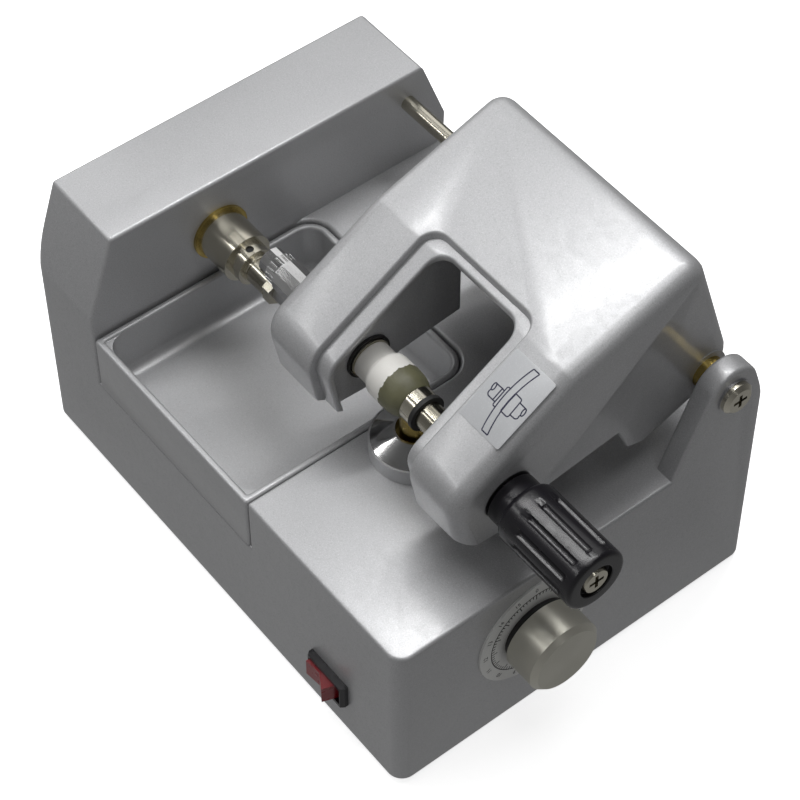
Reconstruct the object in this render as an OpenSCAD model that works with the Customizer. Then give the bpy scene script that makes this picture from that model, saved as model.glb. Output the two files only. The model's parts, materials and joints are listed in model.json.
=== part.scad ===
// Lens pattern maker: a bench machine that copies the outline of a sample lens onto a plastic blank.
// X runs from the tall housing on the left to the knobs on the right, Y from the front to the back, Z up.
// Every piece is drawn from the left face, the front face and the underside of the casing, and
// placed() then moves it so that the origin lies on the floor under the middle of the whole machine.

/* [Casing] */
// Length of the casing, side to side
base_l = 250; // [245:1:270]
// Depth of the casing, front to back
base_d = 189; // [187:1:200]
// Height of the work deck above the underside of the casing
deck_h = 86.6; // [85:0.2:92]
// Thickness of the cast walls
wall = 4; // [3.5:0.1:4.5]
// Radius of the upright corners
corner_r = 7; // [5:0.5:9]
// Width of the tall housing
house_w = 43; // [42:0.5:46]
// Height of the tall housing
house_h = 138; // [136:1:146]
// How far the front slope of the housing leans back
front_slope_d = 13.8; // [11:0.2:16]
// Height of the front slope of the housing
front_slope_h = 41; // [35:1:46]
// How far the back slope of the housing and the ear leans in
back_slope_d = 13; // [9:0.5:14]
// Height of the back slope
back_slope_h = 36; // [32:1:40]
// Thickness of the pivot ear
ear_w = 10; // [9:0.5:12]
// Length of the ear's foot along the right side
ear_foot = 49.5; // [46:0.5:56]
// Radius of the ear's round top
ear_r = 13.5; // [12.5:0.5:15]

/* [Chip tray] */
// Length of the tray well beside the housing
well_l = 109.4; // [104:0.2:110]
// Depth of the tray well from the front face
well_d = 116; // [112:0.5:119]
// Height of the shelf that the tray slides on
shelf_h = 56; // [52:0.5:60]
// Wall of the tray
tray_wall = 3.2; // [2.4:0.1:4]
// Floor of the tray
tray_floor = 3; // [2:0.1:4]
// Radius of the tray's back corners
tray_r = 12; // [9:0.5:15]
// Gap between tray and well
tray_gap = 0.8; // [0.5:0.1:1.2]

/* [Spindle] */
// Distance of the spindle axis from the front face
spin_y = 66.6; // [66:0.1:68]
// Height of the spindle axis above the deck
spin_up = 21.5; // [21:0.1:21.8]
// Radius of the spindle nose
nose_r = 11.6; // [11:0.1:12]
// Length of the spindle nose in front of the housing
nose_l = 20; // [18:0.1:21]
// Length of the lock ring
ring_l = 6.4; // [6:0.1:7]
// Radius of the lock ring
lock_r = 9; // [8.8:0.1:9.4]
// Length of the round part of the collet
collet_l = 10.8; // [10:0.1:11.5]
// Radius of the round part of the collet
collet_r = 6.4; // [6:0.1:6.6]
// Length of the hexagon on the collet
hex_l = 4.6; // [4:0.1:5]
// Radius of the cutter's shank
shank_r = 4.2; // [4:0.1:4.4]
// Radius of the cutter
cutter_r = 3.6; // [2.5:0.1:4]

/* [Head] */
// Width of the swinging head
head_w = 121.6; // [120:0.2:122]
// Gap between the head and the ear
head_gap = 4.4; // [4:0.2:5.4]
// Distance of the pivot axis from the back face
pivot_back = 21; // [20.5:0.1:21.5]
// Height of the pivot axis above the deck
pivot_up = 34.9; // [34.4:0.1:35.4]
// Radius of the pivot shaft
pivot_r = 3.6; // [3.3:0.1:4]
// Distance from the pivot axis to the lens axis, front to back
lens_reach = 102.5; // [102:0.1:103]
// Height of the lens axis above the deck
lens_up = 38.4; // [38.2:0.1:39]
// Wall of the head casting
head_wall = 4; // [3.5:0.1:4.5]
// Radius of the head's soft edges
head_edge = 7; // [6.8:0.1:8]
// Width of the left arm, outside its recess
arm_left = 30; // [29:0.2:31]
// Width of the right arm, outside its recess
arm_right = 28.2; // [27.6:0.2:29]
// Depth of the recess round the slot
recess = 3.5; // [3:0.1:4]
// Thickness of the lip in the recess
lip_t = 3; // [2.5:0.1:3.2]

/* [Lens clamp] */
// Radius of the pattern shaft
pattern_r = 4; // [3.5:0.1:4.4]
// How far the pattern clamp reaches out of the left arm
clamp_out = 32; // [31:0.1:33]
// Radius of the largest step of the pattern clamp
clamp_r = 7.8; // [7:0.1:9]
// Radius of the round part of the lens chuck
chuck_r = 8.6; // [8.2:0.1:9]
// Radius of the lens chuck at its face, and of the rubber pad
face_r = 10.3; // [9.8:0.1:10.6]
// Radius of the clamp shaft
shaft_r = 6.3; // [6:0.1:6.5]
// Radius of the collar behind the pad
collar_r = 8; // [7.6:0.1:8.4]
// Radius of the black knob
knob_r = 14; // [13:0.2:15]
// Length of the black knob with its hub
knob_l = 49.8; // [46:0.2:54]
// How far the knob pulls out
pull = 12; // [8:0.5:13]

/* [Size dial and rest] */
// Distance of the dial axis from the front face
dial_y = 68.3; // [67:0.1:70]
// Height of the dial axis above the underside
dial_z = 51.5; // [51:0.1:52]
// Radius of the dial plate
plate_r = 28.2; // [26:0.1:30]
// Radius of the dial knob
dial_r = 17.4; // [16:0.1:19]
// Length of the dial knob
dial_l = 16.7; // [15:0.1:20]
// Distance of the rest post from the right face
rest_in = 78; // [77.5:0.1:78]
// Distance of the rest post from the front face
rest_y = 69.8; // [69:0.1:71]
// Radius of the rest post
rest_r = 6.3; // [5.9:0.1:6.6]
// Radius of the flange under the chrome cone
flange_r = 19; // [18:0.1:19.2]
// Height of the flange
flange_h = 8; // [7:0.1:8.5]
// Height of the chrome cone above the flange
cone_h = 5.4; // [5:0.1:6]
// Height of the rest post's top above the deck
rest_up = 25.2; // [24:0.1:25.4]
// Rise of the cam over one full turn
cam_lead = 4; // [3:0.1:4]

/* [Drive] */
// Distance of the motor axis from the back face
motor_back = 39; // [38:0.5:41]
// Height of the motor axis above the underside
motor_z = 45; // [43:0.5:47]
// Radius of the motor case
motor_r = 26; // [24:0.5:27]
// Length of the motor case
motor_l = 72; // [66:1:80]
// Radius of the spindle pulley
big_pulley_r = 18; // [16:0.5:19]
// Radius of the motor pulley
small_pulley_r = 9; // [8:0.5:10]
// Thickness of the belt
belt_t = 1.5; // [1.2:0.1:1.8]

/* [Hidden] */

$fn = 64;
// Facets of the round children of a hull
soft_fn = 32;
// Overrun of every cut
over = 1;
// Radial clearance of a part that turns or slides in another
fit = 0.05;
// Gap between faces that pass each other
pass = 0.3;

// Heights and depths of the axes
spin_z = deck_h + spin_up;
pivot_y = base_d - pivot_back;
pivot_z = deck_h + pivot_up;
lens_y = pivot_y - lens_reach;
lens_z = deck_h + lens_up;
motor_y = base_d - motor_back;
rest_x = base_l - rest_in;
ear_x = base_l - ear_w;
head_x2 = ear_x - head_gap;
head_x1 = head_x2 - head_w;
well_x2 = house_w + well_l;

// Feet, and screws of the underside
foot_h = 4;
foot_r = 9;
foot_in = 22;
foot_hole_r = 5;
foot_hole_h = 2.6;
plate_t = 2;
boss_r = 5;
boss_h = 20;
boss_bite = 1;
boss_in = wall + boss_r - boss_bite;
screw_r = 1.5;
screw_head_r = 3;
screw_head_h = 1.6;
screw_l = 8;

// Belt cover on the left face
cover_t = 2.5;
cover_front = 22;
cover_back = 22;
cover_low = 16;
cover_top = 14;
cover_r = 6;
cover_ledge = 7;
cover_l = base_d - cover_front - cover_back;
cover_h = house_h - cover_low - cover_top;

// Spindle, from the housing wall to the left arm
spin_collar_r = 17.5;
spin_collar_t = 0.6;
bush_r = 13.4;
bush_lip = 1.5;
collet_flange_r = 6.9;
collet_flange_l = 1.8;
hex_r = 7.15;
collet_grip_l = 9.4;
cutter_gap = 1.6;
flutes = 4;
flute_r = 1;
spigot_r = 6.2;
collet_body_r = 5;
nose_x = house_w + nose_l;
ring_x = nose_x + ring_l;
collet_x = ring_x + collet_flange_l;
hex_x = collet_x + collet_l;
tool_x = hex_x + hex_l;
mill_x = tool_x + collet_grip_l;
mill_end = head_x1 - cutter_gap;
lock_hole_r = 1.8;
lock_hole_in = 1.4;
lock_turn = 4;
journal_r = 6;
bearing_r = 16;
bearing_l = 7;
block_r = 19;
block_ear = 26;
block_x = house_w - wall - 2 * bearing_l;
// Metal left at the bottom of the block's screw holes
blind = 1;

// Belt drive, inside the housing
pulley_x = 8;
pulley_l = 12;
pulley_rim = 1;
pulley_lip = 2.2;
motor_shaft_r = 3;
bracket_t = 4;
bracket_foot = 22;
bracket_foot_t = 3;
motor_x = house_w + bracket_t - over;
bell_t = 4;
can_t = 5;
rotor_r = 19;
rotor_gap = 4;
motor_bolt_ring = 18;
belt_steps = 48;

// Rocker switch on the front face
switch_in = 44.8;
switch_z = 25;
bezel_l = 23.6;
bezel_h = 13.4;
bezel_t = 3.4;
bezel_cut = 1.2;
switch_l = 22;
switch_h = 12.6;
switch_d = 18;
pocket_l = 20.4;
pocket_h = 10;
pocket_d = 10;
rocker_tip = 7.6;
rocker_half = 8.4;
rocker_h = 9.4;
rocker_edge = 6.9;
rocker_mid = 4.4;
rocker_back = 1.6;
rocker_hub_r = 2.4;
rocker_pin_r = 1.2;
rocker_pin_l = 0.8;
rocker_pivot = 4;
rocker_tilt = 13;
switch_x = base_l - switch_in;

// Power inlet on the back face
inlet_in = 45;
inlet_z = 36;
inlet_l = 50;
inlet_h = 23;
inlet_t = 2.5;
inlet_r = 4;
inlet_body_l = 28;
inlet_body_h = 20;
inlet_body_d = 22;
socket_l = 24.4;
socket_h = 16.8;
socket_d = 18;
socket_r = 4;
pin_l = 11;
pin_w = 2;
pin_h = 4;
pin_pitch = 7;
pin_up = 2;
inlet_screw_pitch = 20;
inlet_x = base_l - inlet_in;

// Control board on the bottom plate
board_x_in = 84;
board_y = 116;
board_l = 60;
board_d = 46;
board_t = 1.6;
standoff_h = 6;
standoff_r = 3;
standoff_in = 4;
relay_l = 19;
relay_d = 15;
relay_h = 15;
cap_r = 6;
cap_h = 20;
board_x = base_l - board_x_in;

// Pivot
pivot_boss_r = 10;
pivot_bush_r = 6.5;
pivot_flange_r = 7.5;
pivot_boss_l = 14;
pivot_boss_in = 1;
shaft_boss_l = 12;
pivot_hole_r = 2.5;
pivot_hole_l = 12;
washer_r = 8;
washer_t = 1;
pan_r = 7.5;
pan_h = 3.4;
cross_w = 1.6;
cross_l = 7;
cross_d = 1.6;

// Head outline, seen from the right: shares of lens_reach from the pivot axis, to the back and up,
// then the corner radius as a share of head_edge, and the number of facets round the corner
head_outline_shares = [
  [-1.19, -0.307, 1.25, 4],
  [-0.361, -0.327, 0, 0],
  [0.122, -0.288, 1.25, 4],
  [0.132, 0.054, 1.25, 4],
  [-0.083, 0.707, 1.25, 5],
  [-0.716, 0.496, 1.5, 4],
  [-1.276, 0.160, 2, 6]
];
// How much the sides draw in for each mm behind the fold line, and the facets round the soft edges
head_fold = 0.05;
edge_steps = 5;
// Rim of the open underside, as the same shares of lens_reach
head_rim_shares = [
  [-1.46, -0.045], [-1.235, -0.104], [-1.15, -0.155], [-1.014, -0.162], [-0.843, -0.058], [-0.461, -0.022],
  [-0.402, -0.153], [-0.324, -0.18], [-0.032, -0.112], [0.3, -0.027]
];
slot_back = 66.3;
lip_left = 8;
lip_right = 5.9;
lip_back = 3;
lip_root = 4;
recess_r = 8;
slot_r = 8;
inner_wall = 3;
inner_wall_d = 62;
recess_x1 = head_x1 + arm_left;
recess_x2 = head_x2 - arm_right;
left_face = recess_x1 + inner_wall;
right_face = recess_x2 - lip_right;
left_boss_r = 14;
left_bearing_r = 10.1;
right_boss_r = 16;
right_bearing_r = 12.5;
arm_bearing_l = 7;
seal_r = 10.4;
seal_in = 0.3;
seal_t = 1.2;
stop_y_in = 28;
stop_bar_d = 12;
stop_bar_t = 4;
stop_up = 21.4;
stop_r = 4;
stop_nut_r = 7;
stop_nut_h = 5;
stop_x = (head_x1 + head_x2) / 2;
stop_y = pivot_y - stop_y_in;

// Plate with the picture of a clamped lens, on the right arm
label_l = 23.2;
label_d = 32.9;
label_t = 0.3;
label_in = 3.7;
label_up_share = 0.672;

// Lens clamp stations
seat_gap = 2;
seat_l = 4;
seat_r = 9.8;
// Steps of the pattern clamp: where each starts as a share of clamp_out, and its radius as a share of clamp_r
tier_shares = [[0, 0.78], [0.171875, 0.9], [0.34375, 1], [0.75, 1]];
tier_at = [for (s = tier_shares) clamp_out * s[0]];
tier_flats = 12;
tier_grooves = 18;
tier_bite = 0.5;
chuck_ring_l = 1.8;
chuck_ring_r = 9.2;
chuck_l = 8;
flare_l = 2.5;
chuck_face_in = 20.8;
chuck_face_x = left_face + chuck_face_in;
pad_l = 9.9;
pad_flat_l = 6;
collar_l = 5.6;
black_ring_l = 2;
black_ring_r = 8.3;
chuck_bore_l = 6;
pad_x = chuck_face_x + pad_l;
collar_x = pad_x + collar_l;
quill_r = 10;
quill_in_r = 8;
quill_cap = 4;
quill_rim = 0.6;
shaft_flange_l = 3;
shaft_flange_in = 4;
wire = 1.2;
spring_turns = 7;
spring_gap = 0.15;
hub_r = 11.5;
hub_l = 7.4;
shoulder_l = 3;
knob_edge = 3;
knob_gap = 0.6;
knob_flutes = 12;
knob_flute_r = 1.3;
knob_flute_from = 12;
knob_flute_end = 6;
knob_recess_r = 7.8;
knob_recess_d = 2.4;
knob_web = 5;
knob_screw_r = 6.6;
knob_screw_h = 2.4;
quill_x1 = right_face + quill_rim;
quill_x2 = head_x2 - quill_rim;
knob_x = head_x2 + knob_gap;
knob_end = knob_x + knob_l;
shaft_end = knob_end - knob_recess_d - knob_web;

// Dial stations
dial_plate_t = 1;
dial_gap = 3.3;
dial_spacer_r = 15.5;
dial_shaft_r = 4;
dial_bush_r = 7;
dial_bush_lip_r = 9;
dial_bush_lip = 2;
dial_bevel = 2.2;
dial_bevel_l = 2.4;
dial_screw_r = 1.5;
dial_screw_l = 4;
dial_screw_in = 3;
dial_knob_x = base_l + dial_plate_t + dial_gap;
dial_end = dial_knob_x + dial_l;
cam_t = 10;
cam_r = 14;
cam_steps = 90;
cam_gap = 0.06;
bracket_in = 14;
cam_bracket_t = 3;
cam_bracket_w = 24;
cam_bracket_drop = 10;
cam_bracket_foot = 14;
guide_r = 11;
guide_drop = 12;
cone_low_r = 18.2;
cone_top_r = 8.9;
cone_bore_r = 8;
post_foot_r = 10.5;
post_foot_h = 2.5;
rest_turns = 3;
post_bevel = 0.8;
post_hole_r = 1.6;
post_hole_down = 6;
post_low = dial_z + cam_r + cam_gap;

// The rocker's raised edge reaches furthest forward, the inlet's screw heads furthest back
rocker_reach = rocker_edge + rocker_pivot;
front_y = rocker_pivot - rocker_tip * sin(rocker_tilt) - rocker_reach * cos(rocker_tilt);
back_y = base_d + inlet_t + screw_head_h;
mid_x = knob_end / 2;
mid_y = (front_y + back_y) / 2;

// Colours
casting_c = [0.72, 0.72, 0.73];
dark_cast_c = [0.35, 0.36, 0.37];
nickel_c = [0.62, 0.60, 0.54];
steel_c = [0.55, 0.56, 0.58];
brass_c = [0.72, 0.60, 0.25];
chrome_c = [0.85, 0.86, 0.88];
black_c = [0.06, 0.06, 0.07];
rubber_c = [0.12, 0.12, 0.12];
white_c = [0.92, 0.91, 0.88];
olive_c = [0.45, 0.46, 0.30];
red_c = [0.75, 0.08, 0.08];
alu_c = [0.66, 0.65, 0.60];
board_c = [0.10, 0.35, 0.20];

// Moves a piece from the casing's corner to the machine's own frame
module placed() {
  translate([-mid_x, -mid_y, foot_h]) children();
}

// Flat outline with round corners, from its own corner
module round_rect(w, d, r) {
  translate([r, 0]) square([w - 2 * r, d]);
  translate([0, r]) square([w, d - 2 * r]);
  for (x = [r, w - r], y = [r, d - r])
    translate([x, y]) circle(r);
}

// Extrudes a drawing of the Y and Z plane along X
module along_x(x1, x2) {
  translate([x1, 0, 0]) rotate([90, 0, 90]) linear_extrude(x2 - x1) children();
}

// Round bar along X
module bar_x(x1, x2, r, y, z) {
  translate([x1, y, z]) rotate([0, 90, 0]) cylinder(h = x2 - x1, r = r);
}

// Round bar along X whose radius runs from r1 to r2
module taper_x(x1, x2, r1, r2, y, z) {
  translate([x1, y, z]) rotate([0, 90, 0]) cylinder(h = x2 - x1, r1 = r1, r2 = r2);
}

// Tube along X
module tube_x(x1, x2, r, bore, y, z) {
  difference() {
    bar_x(x1, x2, r, y, z);
    bar_x(x1 - over, x2 + over, bore, y, z);
  }
}

// Box from its lowest to its highest corner
module box(a, b) {
  translate(a) cube(b - a);
}

// Cross recess for a screw head whose face looks along X
module cross_x(x, y, z) {
  for (turn = [0, 90])
    translate([x, y, z]) rotate([turn, 0, 0])
      translate([-cross_d, -cross_w / 2, -cross_l / 2]) cube([cross_d + over, cross_w, cross_l]);
}

// Places of the bottom screws
bottom_spots = [
  for (x = [boss_in, base_l / 2, base_l - boss_in], y = [boss_in, base_d - boss_in]) [x, y]
];
// Places of the feet
foot_spots = [
  for (x = [foot_in, base_l - foot_in], y = [foot_in, base_d - foot_in]) [x, y]
];
// Places of the cover screws, along Y and Z
cover_spots = [
  for (y = [cover_front + cover_r, base_d - cover_back - cover_r],
    z = [cover_low + cover_r, house_h - cover_top - cover_r]) [y, z]
];

// Side outline of the housing
module house_side(inset) {
  back_lean = inset * back_slope_d / back_slope_h;
  front_lean = inset * front_slope_d / front_slope_h;
  polygon([
    [inset, inset], [base_d - inset, inset],
    [base_d - inset, house_h - back_slope_h],
    [base_d - back_slope_d - inset + back_lean, house_h - inset],
    [front_slope_d + inset - front_lean, house_h - inset],
    [inset, house_h - front_slope_h]
  ]);
}

// Point where a line from p touches a circle, on the side given by turn
function touch(p, c, r, turn) =
  let (d = norm(c - p), a = atan2(p[1] - c[1], p[0] - c[0]), s = acos(r / d))
  c + r * [cos(a + turn * s), sin(a + turn * s)];

// Side outline of the ear
module ear_side() {
  top = [pivot_y, pivot_z];
  foot = [base_d - ear_foot, deck_h];
  heel = [base_d, house_h - back_slope_h];
  polygon([
    foot, [base_d, deck_h], heel,
    touch(heel, top, ear_r, 1), touch(foot, top, ear_r, -1)
  ]);
  translate(top) circle(ear_r);
}

// Top view of the tray well, or of the tray when drawn with its gap and wall
module well_top(inset_x, inset_back, front, r) {
  x1 = house_w + inset_x;
  x2 = well_x2 - inset_x;
  y2 = well_d - inset_back;
  translate([x1, front]) square([x2 - x1, y2 - r - front]);
  translate([x1 + r, front]) square([x2 - x1 - 2 * r, y2 - front]);
  for (x = [x1 + r, x2 - r])
    translate([x, y2 - r]) circle(r);
}

module base_casing() {
  color(casting_c) placed() difference() {
    union() {
      intersection() {
        union() {
          box([0, 0, 0], [base_l, base_d, deck_h]);
          along_x(0, house_w) house_side(0);
          along_x(ear_x, base_l) ear_side();
        }
        linear_extrude(house_h) round_rect(base_l, base_d, corner_r);
      }
      bar_x(house_w, house_w + spin_collar_t, spin_collar_r, spin_y, spin_z);
    }
    difference() {
      union() {
        // Under the shelf
        box([wall, wall, -over], [base_l - wall, base_d - wall, shelf_h - wall]);
        // Behind and beside the tray well
        box([wall, well_d + wall, 0], [base_l - wall, base_d - wall, deck_h - wall]);
        box([well_x2 + wall, wall, 0], [base_l - wall, base_d - wall, deck_h - wall]);
        // Inside the housing
        along_x(wall, house_w - wall) house_side(wall);
      }
      // Screw bosses of the underside, and the boss that holds the pivot shaft
      for (p = bottom_spots)
        translate([p[0], p[1], plate_t]) cylinder(h = boss_h, r = boss_r);
      bar_x(house_w - wall - shaft_boss_l, house_w, pivot_boss_r, pivot_y, pivot_z);
    }
    translate([0, 0, shelf_h]) linear_extrude(house_h) well_top(0, 0, -over, tray_r);
    for (p = bottom_spots)
      translate([p[0], p[1], -over]) cylinder(h = screw_head_h + screw_l + over, r = screw_r);
    // Belt cover: a shallow seat and the opening in it
    along_x(-over, cover_t)
      translate([cover_front, cover_low]) round_rect(cover_l, cover_h, cover_r);
    along_x(-over, wall + over)
      translate([cover_front + cover_ledge, cover_low + cover_ledge])
        round_rect(cover_l - 2 * cover_ledge, cover_h - 2 * cover_ledge, cover_r);
    for (p = cover_spots)
      bar_x(0, wall + over, screw_r, p[0], p[1]);
    // Bores of the spindle bush, the pivot shaft, the dial bush and the rest guide
    bar_x(house_w - wall - over, house_w + over, bush_r, spin_y, spin_z);
    for (turn = [45 : 90 : 315])
      bar_x(house_w - wall - over, house_w - blind, screw_r,
        spin_y + block_ear * cos(turn), spin_z + block_ear * sin(turn));
    bar_x(house_w - wall - shaft_boss_l + wall, house_w + over, pivot_r, pivot_y, pivot_z);
    bar_x(ear_x - over, base_l + over, pivot_r, pivot_y, pivot_z);
    bar_x(base_l - wall - over, base_l + over, dial_bush_r, dial_y, dial_z);
    translate([rest_x, rest_y, deck_h - wall - over]) cylinder(h = wall + 2 * over, r = guide_r);
    // Switch and inlet
    box([switch_x - switch_l / 2, -over, switch_z - switch_h / 2],
      [switch_x + switch_l / 2, wall + over, switch_z + switch_h / 2]);
    box([inlet_x - inlet_body_l / 2, base_d - wall - over, inlet_z - inlet_body_h / 2],
      [inlet_x + inlet_body_l / 2, base_d + over, inlet_z + inlet_body_h / 2]);
    for (side = [-1, 1])
      translate([inlet_x + side * inlet_screw_pitch, base_d + over, inlet_z]) rotate([90, 0, 0])
        cylinder(h = wall + 2 * over, r = screw_r);
    // Tapped hole of the stop post
    translate([stop_x, stop_y, deck_h - wall - over]) cylinder(h = wall + 2 * over, r = stop_r);
  }
}

module bottom_plate() {
  color(dark_cast_c) placed() difference() {
    box([wall + pass, wall + pass, 0], [base_l - wall - pass, base_d - wall - pass, plate_t]);
    for (p = concat(bottom_spots, foot_spots))
      translate([p[0], p[1], -over]) cylinder(h = plate_t + 2 * over, r = screw_r);
    for (p = bottom_spots)
      translate([p[0], p[1], -over]) cylinder(h = screw_head_h + over, r = screw_head_r);
  }
}

// Pan head screw whose head lies on the origin's floor and whose shank runs up
module case_screw() {
  cylinder(h = screw_l, r = screw_r);
  translate([0, 0, -screw_head_h]) cylinder(h = screw_head_h, r = screw_head_r);
}

// All screws of the casing are of one kind
module case_screws() {
  color(steel_c) placed() {
    for (p = bottom_spots)
      translate([p[0], p[1], screw_head_h]) case_screw();
    for (p = foot_spots)
      translate([p[0], p[1], foot_hole_h - foot_h]) case_screw();
    for (p = cover_spots)
      translate([screw_head_h, p[0], p[1]]) rotate([0, 90, 0]) case_screw();
    for (turn = [45 : 90 : 315])
      translate([house_w - blind - screw_l, spin_y + block_ear * cos(turn), spin_z + block_ear * sin(turn)])
        rotate([0, 90, 0]) case_screw();
    for (turn = [45 : 90 : 315])
      translate([motor_x - bracket_t, motor_y, motor_z]) rotate([turn, 0, 0])
        translate([0, motor_bolt_ring, 0]) rotate([0, 90, 0]) case_screw();
    for (side = [-1, 1])
      translate([inlet_x + side * inlet_screw_pitch, base_d + inlet_t, inlet_z])
        rotate([90, 0, 0]) case_screw();
  }
}

module rubber_feet() {
  color(rubber_c) placed() for (p = foot_spots) translate([p[0], p[1], -foot_h]) difference() {
    cylinder(h = foot_h, r1 = foot_r - over, r2 = foot_r);
    translate([0, 0, -over]) cylinder(h = foot_hole_h + over, r = foot_hole_r);
    cylinder(h = foot_h + over, r = screw_r);
  }
}

module belt_cover() {
  color(casting_c) placed() difference() {
    along_x(0, cover_t) translate([cover_front + pass, cover_low + pass])
      round_rect(cover_l - 2 * pass, cover_h - 2 * pass, cover_r - pass);
    for (p = cover_spots) {
      bar_x(-over, cover_t + over, screw_r, p[0], p[1]);
      bar_x(-over, screw_head_h, screw_head_r, p[0], p[1]);
    }
  }
}

module chip_tray() {
  color(casting_c) placed() difference() {
    translate([0, 0, shelf_h]) linear_extrude(deck_h - shelf_h - tray_gap)
      well_top(tray_gap, tray_gap, 0, tray_r - tray_gap);
    translate([0, 0, shelf_h + tray_floor]) linear_extrude(deck_h)
      intersection() {
        well_top(tray_gap + tray_wall, tray_gap + tray_wall, 0, tray_r - tray_gap - tray_wall);
        translate([house_w + tray_gap + tray_wall, tray_wall])
          round_rect(well_l - 2 * (tray_gap + tray_wall), well_d, tray_r - tray_gap - tray_wall);
      }
  }
}

module spindle_bush() {
  color(brass_c) placed() tube_x(house_w - wall, house_w + bush_lip, bush_r, nose_r + fit, spin_y, spin_z);
}

// Round block on a square flange
module bearing_block() {
  flange_x = house_w - blind - screw_l;
  half = block_ear * sin(45) + boss_r;
  color(dark_cast_c) placed() difference() {
    union() {
      bar_x(block_x, house_w - wall, block_r, spin_y, spin_z);
      box([flange_x, spin_y - half, spin_z - half], [house_w - wall, spin_y + half, spin_z + half]);
    }
    bar_x(block_x - over, house_w, bearing_r, spin_y, spin_z);
    for (turn = [45 : 90 : 315])
      bar_x(block_x, house_w, screw_r, spin_y + block_ear * cos(turn), spin_z + block_ear * sin(turn));
  }
}

module spindle_bearings() {
  color(steel_c) placed() for (k = [0, 1])
    tube_x(block_x + k * bearing_l + k * pass, block_x + (k + 1) * bearing_l - (1 - k) * pass, bearing_r,
      journal_r + fit, spin_y, spin_z);
}

module spindle_shaft() {
  color(nickel_c) placed() difference() {
    union() {
      bar_x(pulley_x - over, house_w - wall + pass, journal_r, spin_y, spin_z);
      bar_x(house_w - wall + pass, nose_x, nose_r, spin_y, spin_z);
      bar_x(nose_x, ring_x, spigot_r, spin_y, spin_z);
    }
    bar_x(nose_x - collet_grip_l, ring_x + over, collet_body_r, spin_y, spin_z);
  }
}

module lock_ring() {
  color(nickel_c) placed() difference() {
    tube_x(nose_x, ring_x, lock_r, spigot_r, spin_y, spin_z);
    translate([(nose_x + ring_x) / 2, spin_y, spin_z]) rotate([lock_turn, 0, 0])
      cylinder(h = lock_r + over, r = lock_hole_r);
  }
}

module lock_screw() {
  color(black_c) placed() translate([(nose_x + ring_x) / 2, spin_y, spin_z]) rotate([lock_turn, 0, 0])
    translate([0, 0, spigot_r]) cylinder(h = lock_r - spigot_r - lock_hole_in, r = lock_hole_r);
}

module collet() {
  color(nickel_c) placed() difference() {
    union() {
      bar_x(nose_x - collet_grip_l, ring_x, collet_body_r, spin_y, spin_z);
      bar_x(ring_x, collet_x, collet_flange_r, spin_y, spin_z);
      bar_x(collet_x, hex_x, collet_r, spin_y, spin_z);
      translate([hex_x, spin_y, spin_z]) rotate([0, 90, 0]) cylinder(h = hex_l, r = hex_r, $fn = 6);
    }
    bar_x(nose_x, tool_x + over, shank_r, spin_y, spin_z);
  }
}

module cutter() {
  color(steel_c) placed() difference() {
    union() {
      bar_x(nose_x, mill_x, shank_r, spin_y, spin_z);
      bar_x(mill_x, mill_end, cutter_r, spin_y, spin_z);
    }
    for (k = [0 : flutes - 1]) {
      turn = 360 * k / flutes;
      bar_x(mill_x + over, mill_end + over, flute_r,
        spin_y + cutter_r * cos(turn), spin_z + cutter_r * sin(turn));
    }
  }
}

// Flanged belt pulley, with its axis along X
module pulley(r, bore, y, z) {
  difference() {
    union() {
      bar_x(pulley_x, pulley_x + pulley_l, r, y, z);
      for (x = [pulley_x, pulley_x + pulley_l - pulley_rim])
        bar_x(x, x + pulley_rim, r + pulley_lip, y, z);
    }
    bar_x(pulley_x - over, pulley_x + pulley_l + over, bore, y, z);
  }
}

module spindle_pulley() {
  color(alu_c) placed() pulley(big_pulley_r, journal_r, spin_y, spin_z);
}

module motor_pulley() {
  color(alu_c) placed() pulley(small_pulley_r, motor_shaft_r, motor_y, motor_z);
}

module motor_case() {
  color(dark_cast_c) placed() difference() {
    bar_x(motor_x, motor_x + motor_l, motor_r, motor_y, motor_z);
    bar_x(motor_x + bell_t, motor_x + motor_l - bell_t, motor_r - can_t, motor_y, motor_z);
    bar_x(motor_x - over, motor_x + motor_l - bell_t / 2, motor_shaft_r + fit, motor_y, motor_z);
    for (turn = [45 : 90 : 315])
      bar_x(motor_x - over, motor_x + bell_t + over, screw_r,
        motor_y + motor_bolt_ring * cos(turn), motor_z + motor_bolt_ring * sin(turn));
  }
}

module motor_bracket() {
  x1 = motor_x - bracket_t;
  color(steel_c) placed() difference() {
    union() {
      box([x1, motor_y - motor_r, plate_t], [motor_x, motor_y + motor_r, motor_z + motor_r]);
      box([x1, motor_y - motor_r, plate_t],
        [x1 + bracket_foot, motor_y + motor_r, plate_t + bracket_foot_t]);
    }
    bar_x(x1 - over, motor_x + over, big_pulley_r / 2, motor_y, motor_z);
    for (turn = [45 : 90 : 315])
      bar_x(x1 - over, motor_x + over, screw_r,
        motor_y + motor_bolt_ring * cos(turn), motor_z + motor_bolt_ring * sin(turn));
  }
}

module motor_rotor() {
  color(steel_c) placed() {
    bar_x(pulley_x - over, motor_x + motor_l - bell_t, motor_shaft_r, motor_y, motor_z);
    bar_x(motor_x + bell_t + rotor_gap, motor_x + motor_l - bell_t - rotor_gap, rotor_r, motor_y, motor_z);
  }
}

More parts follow.
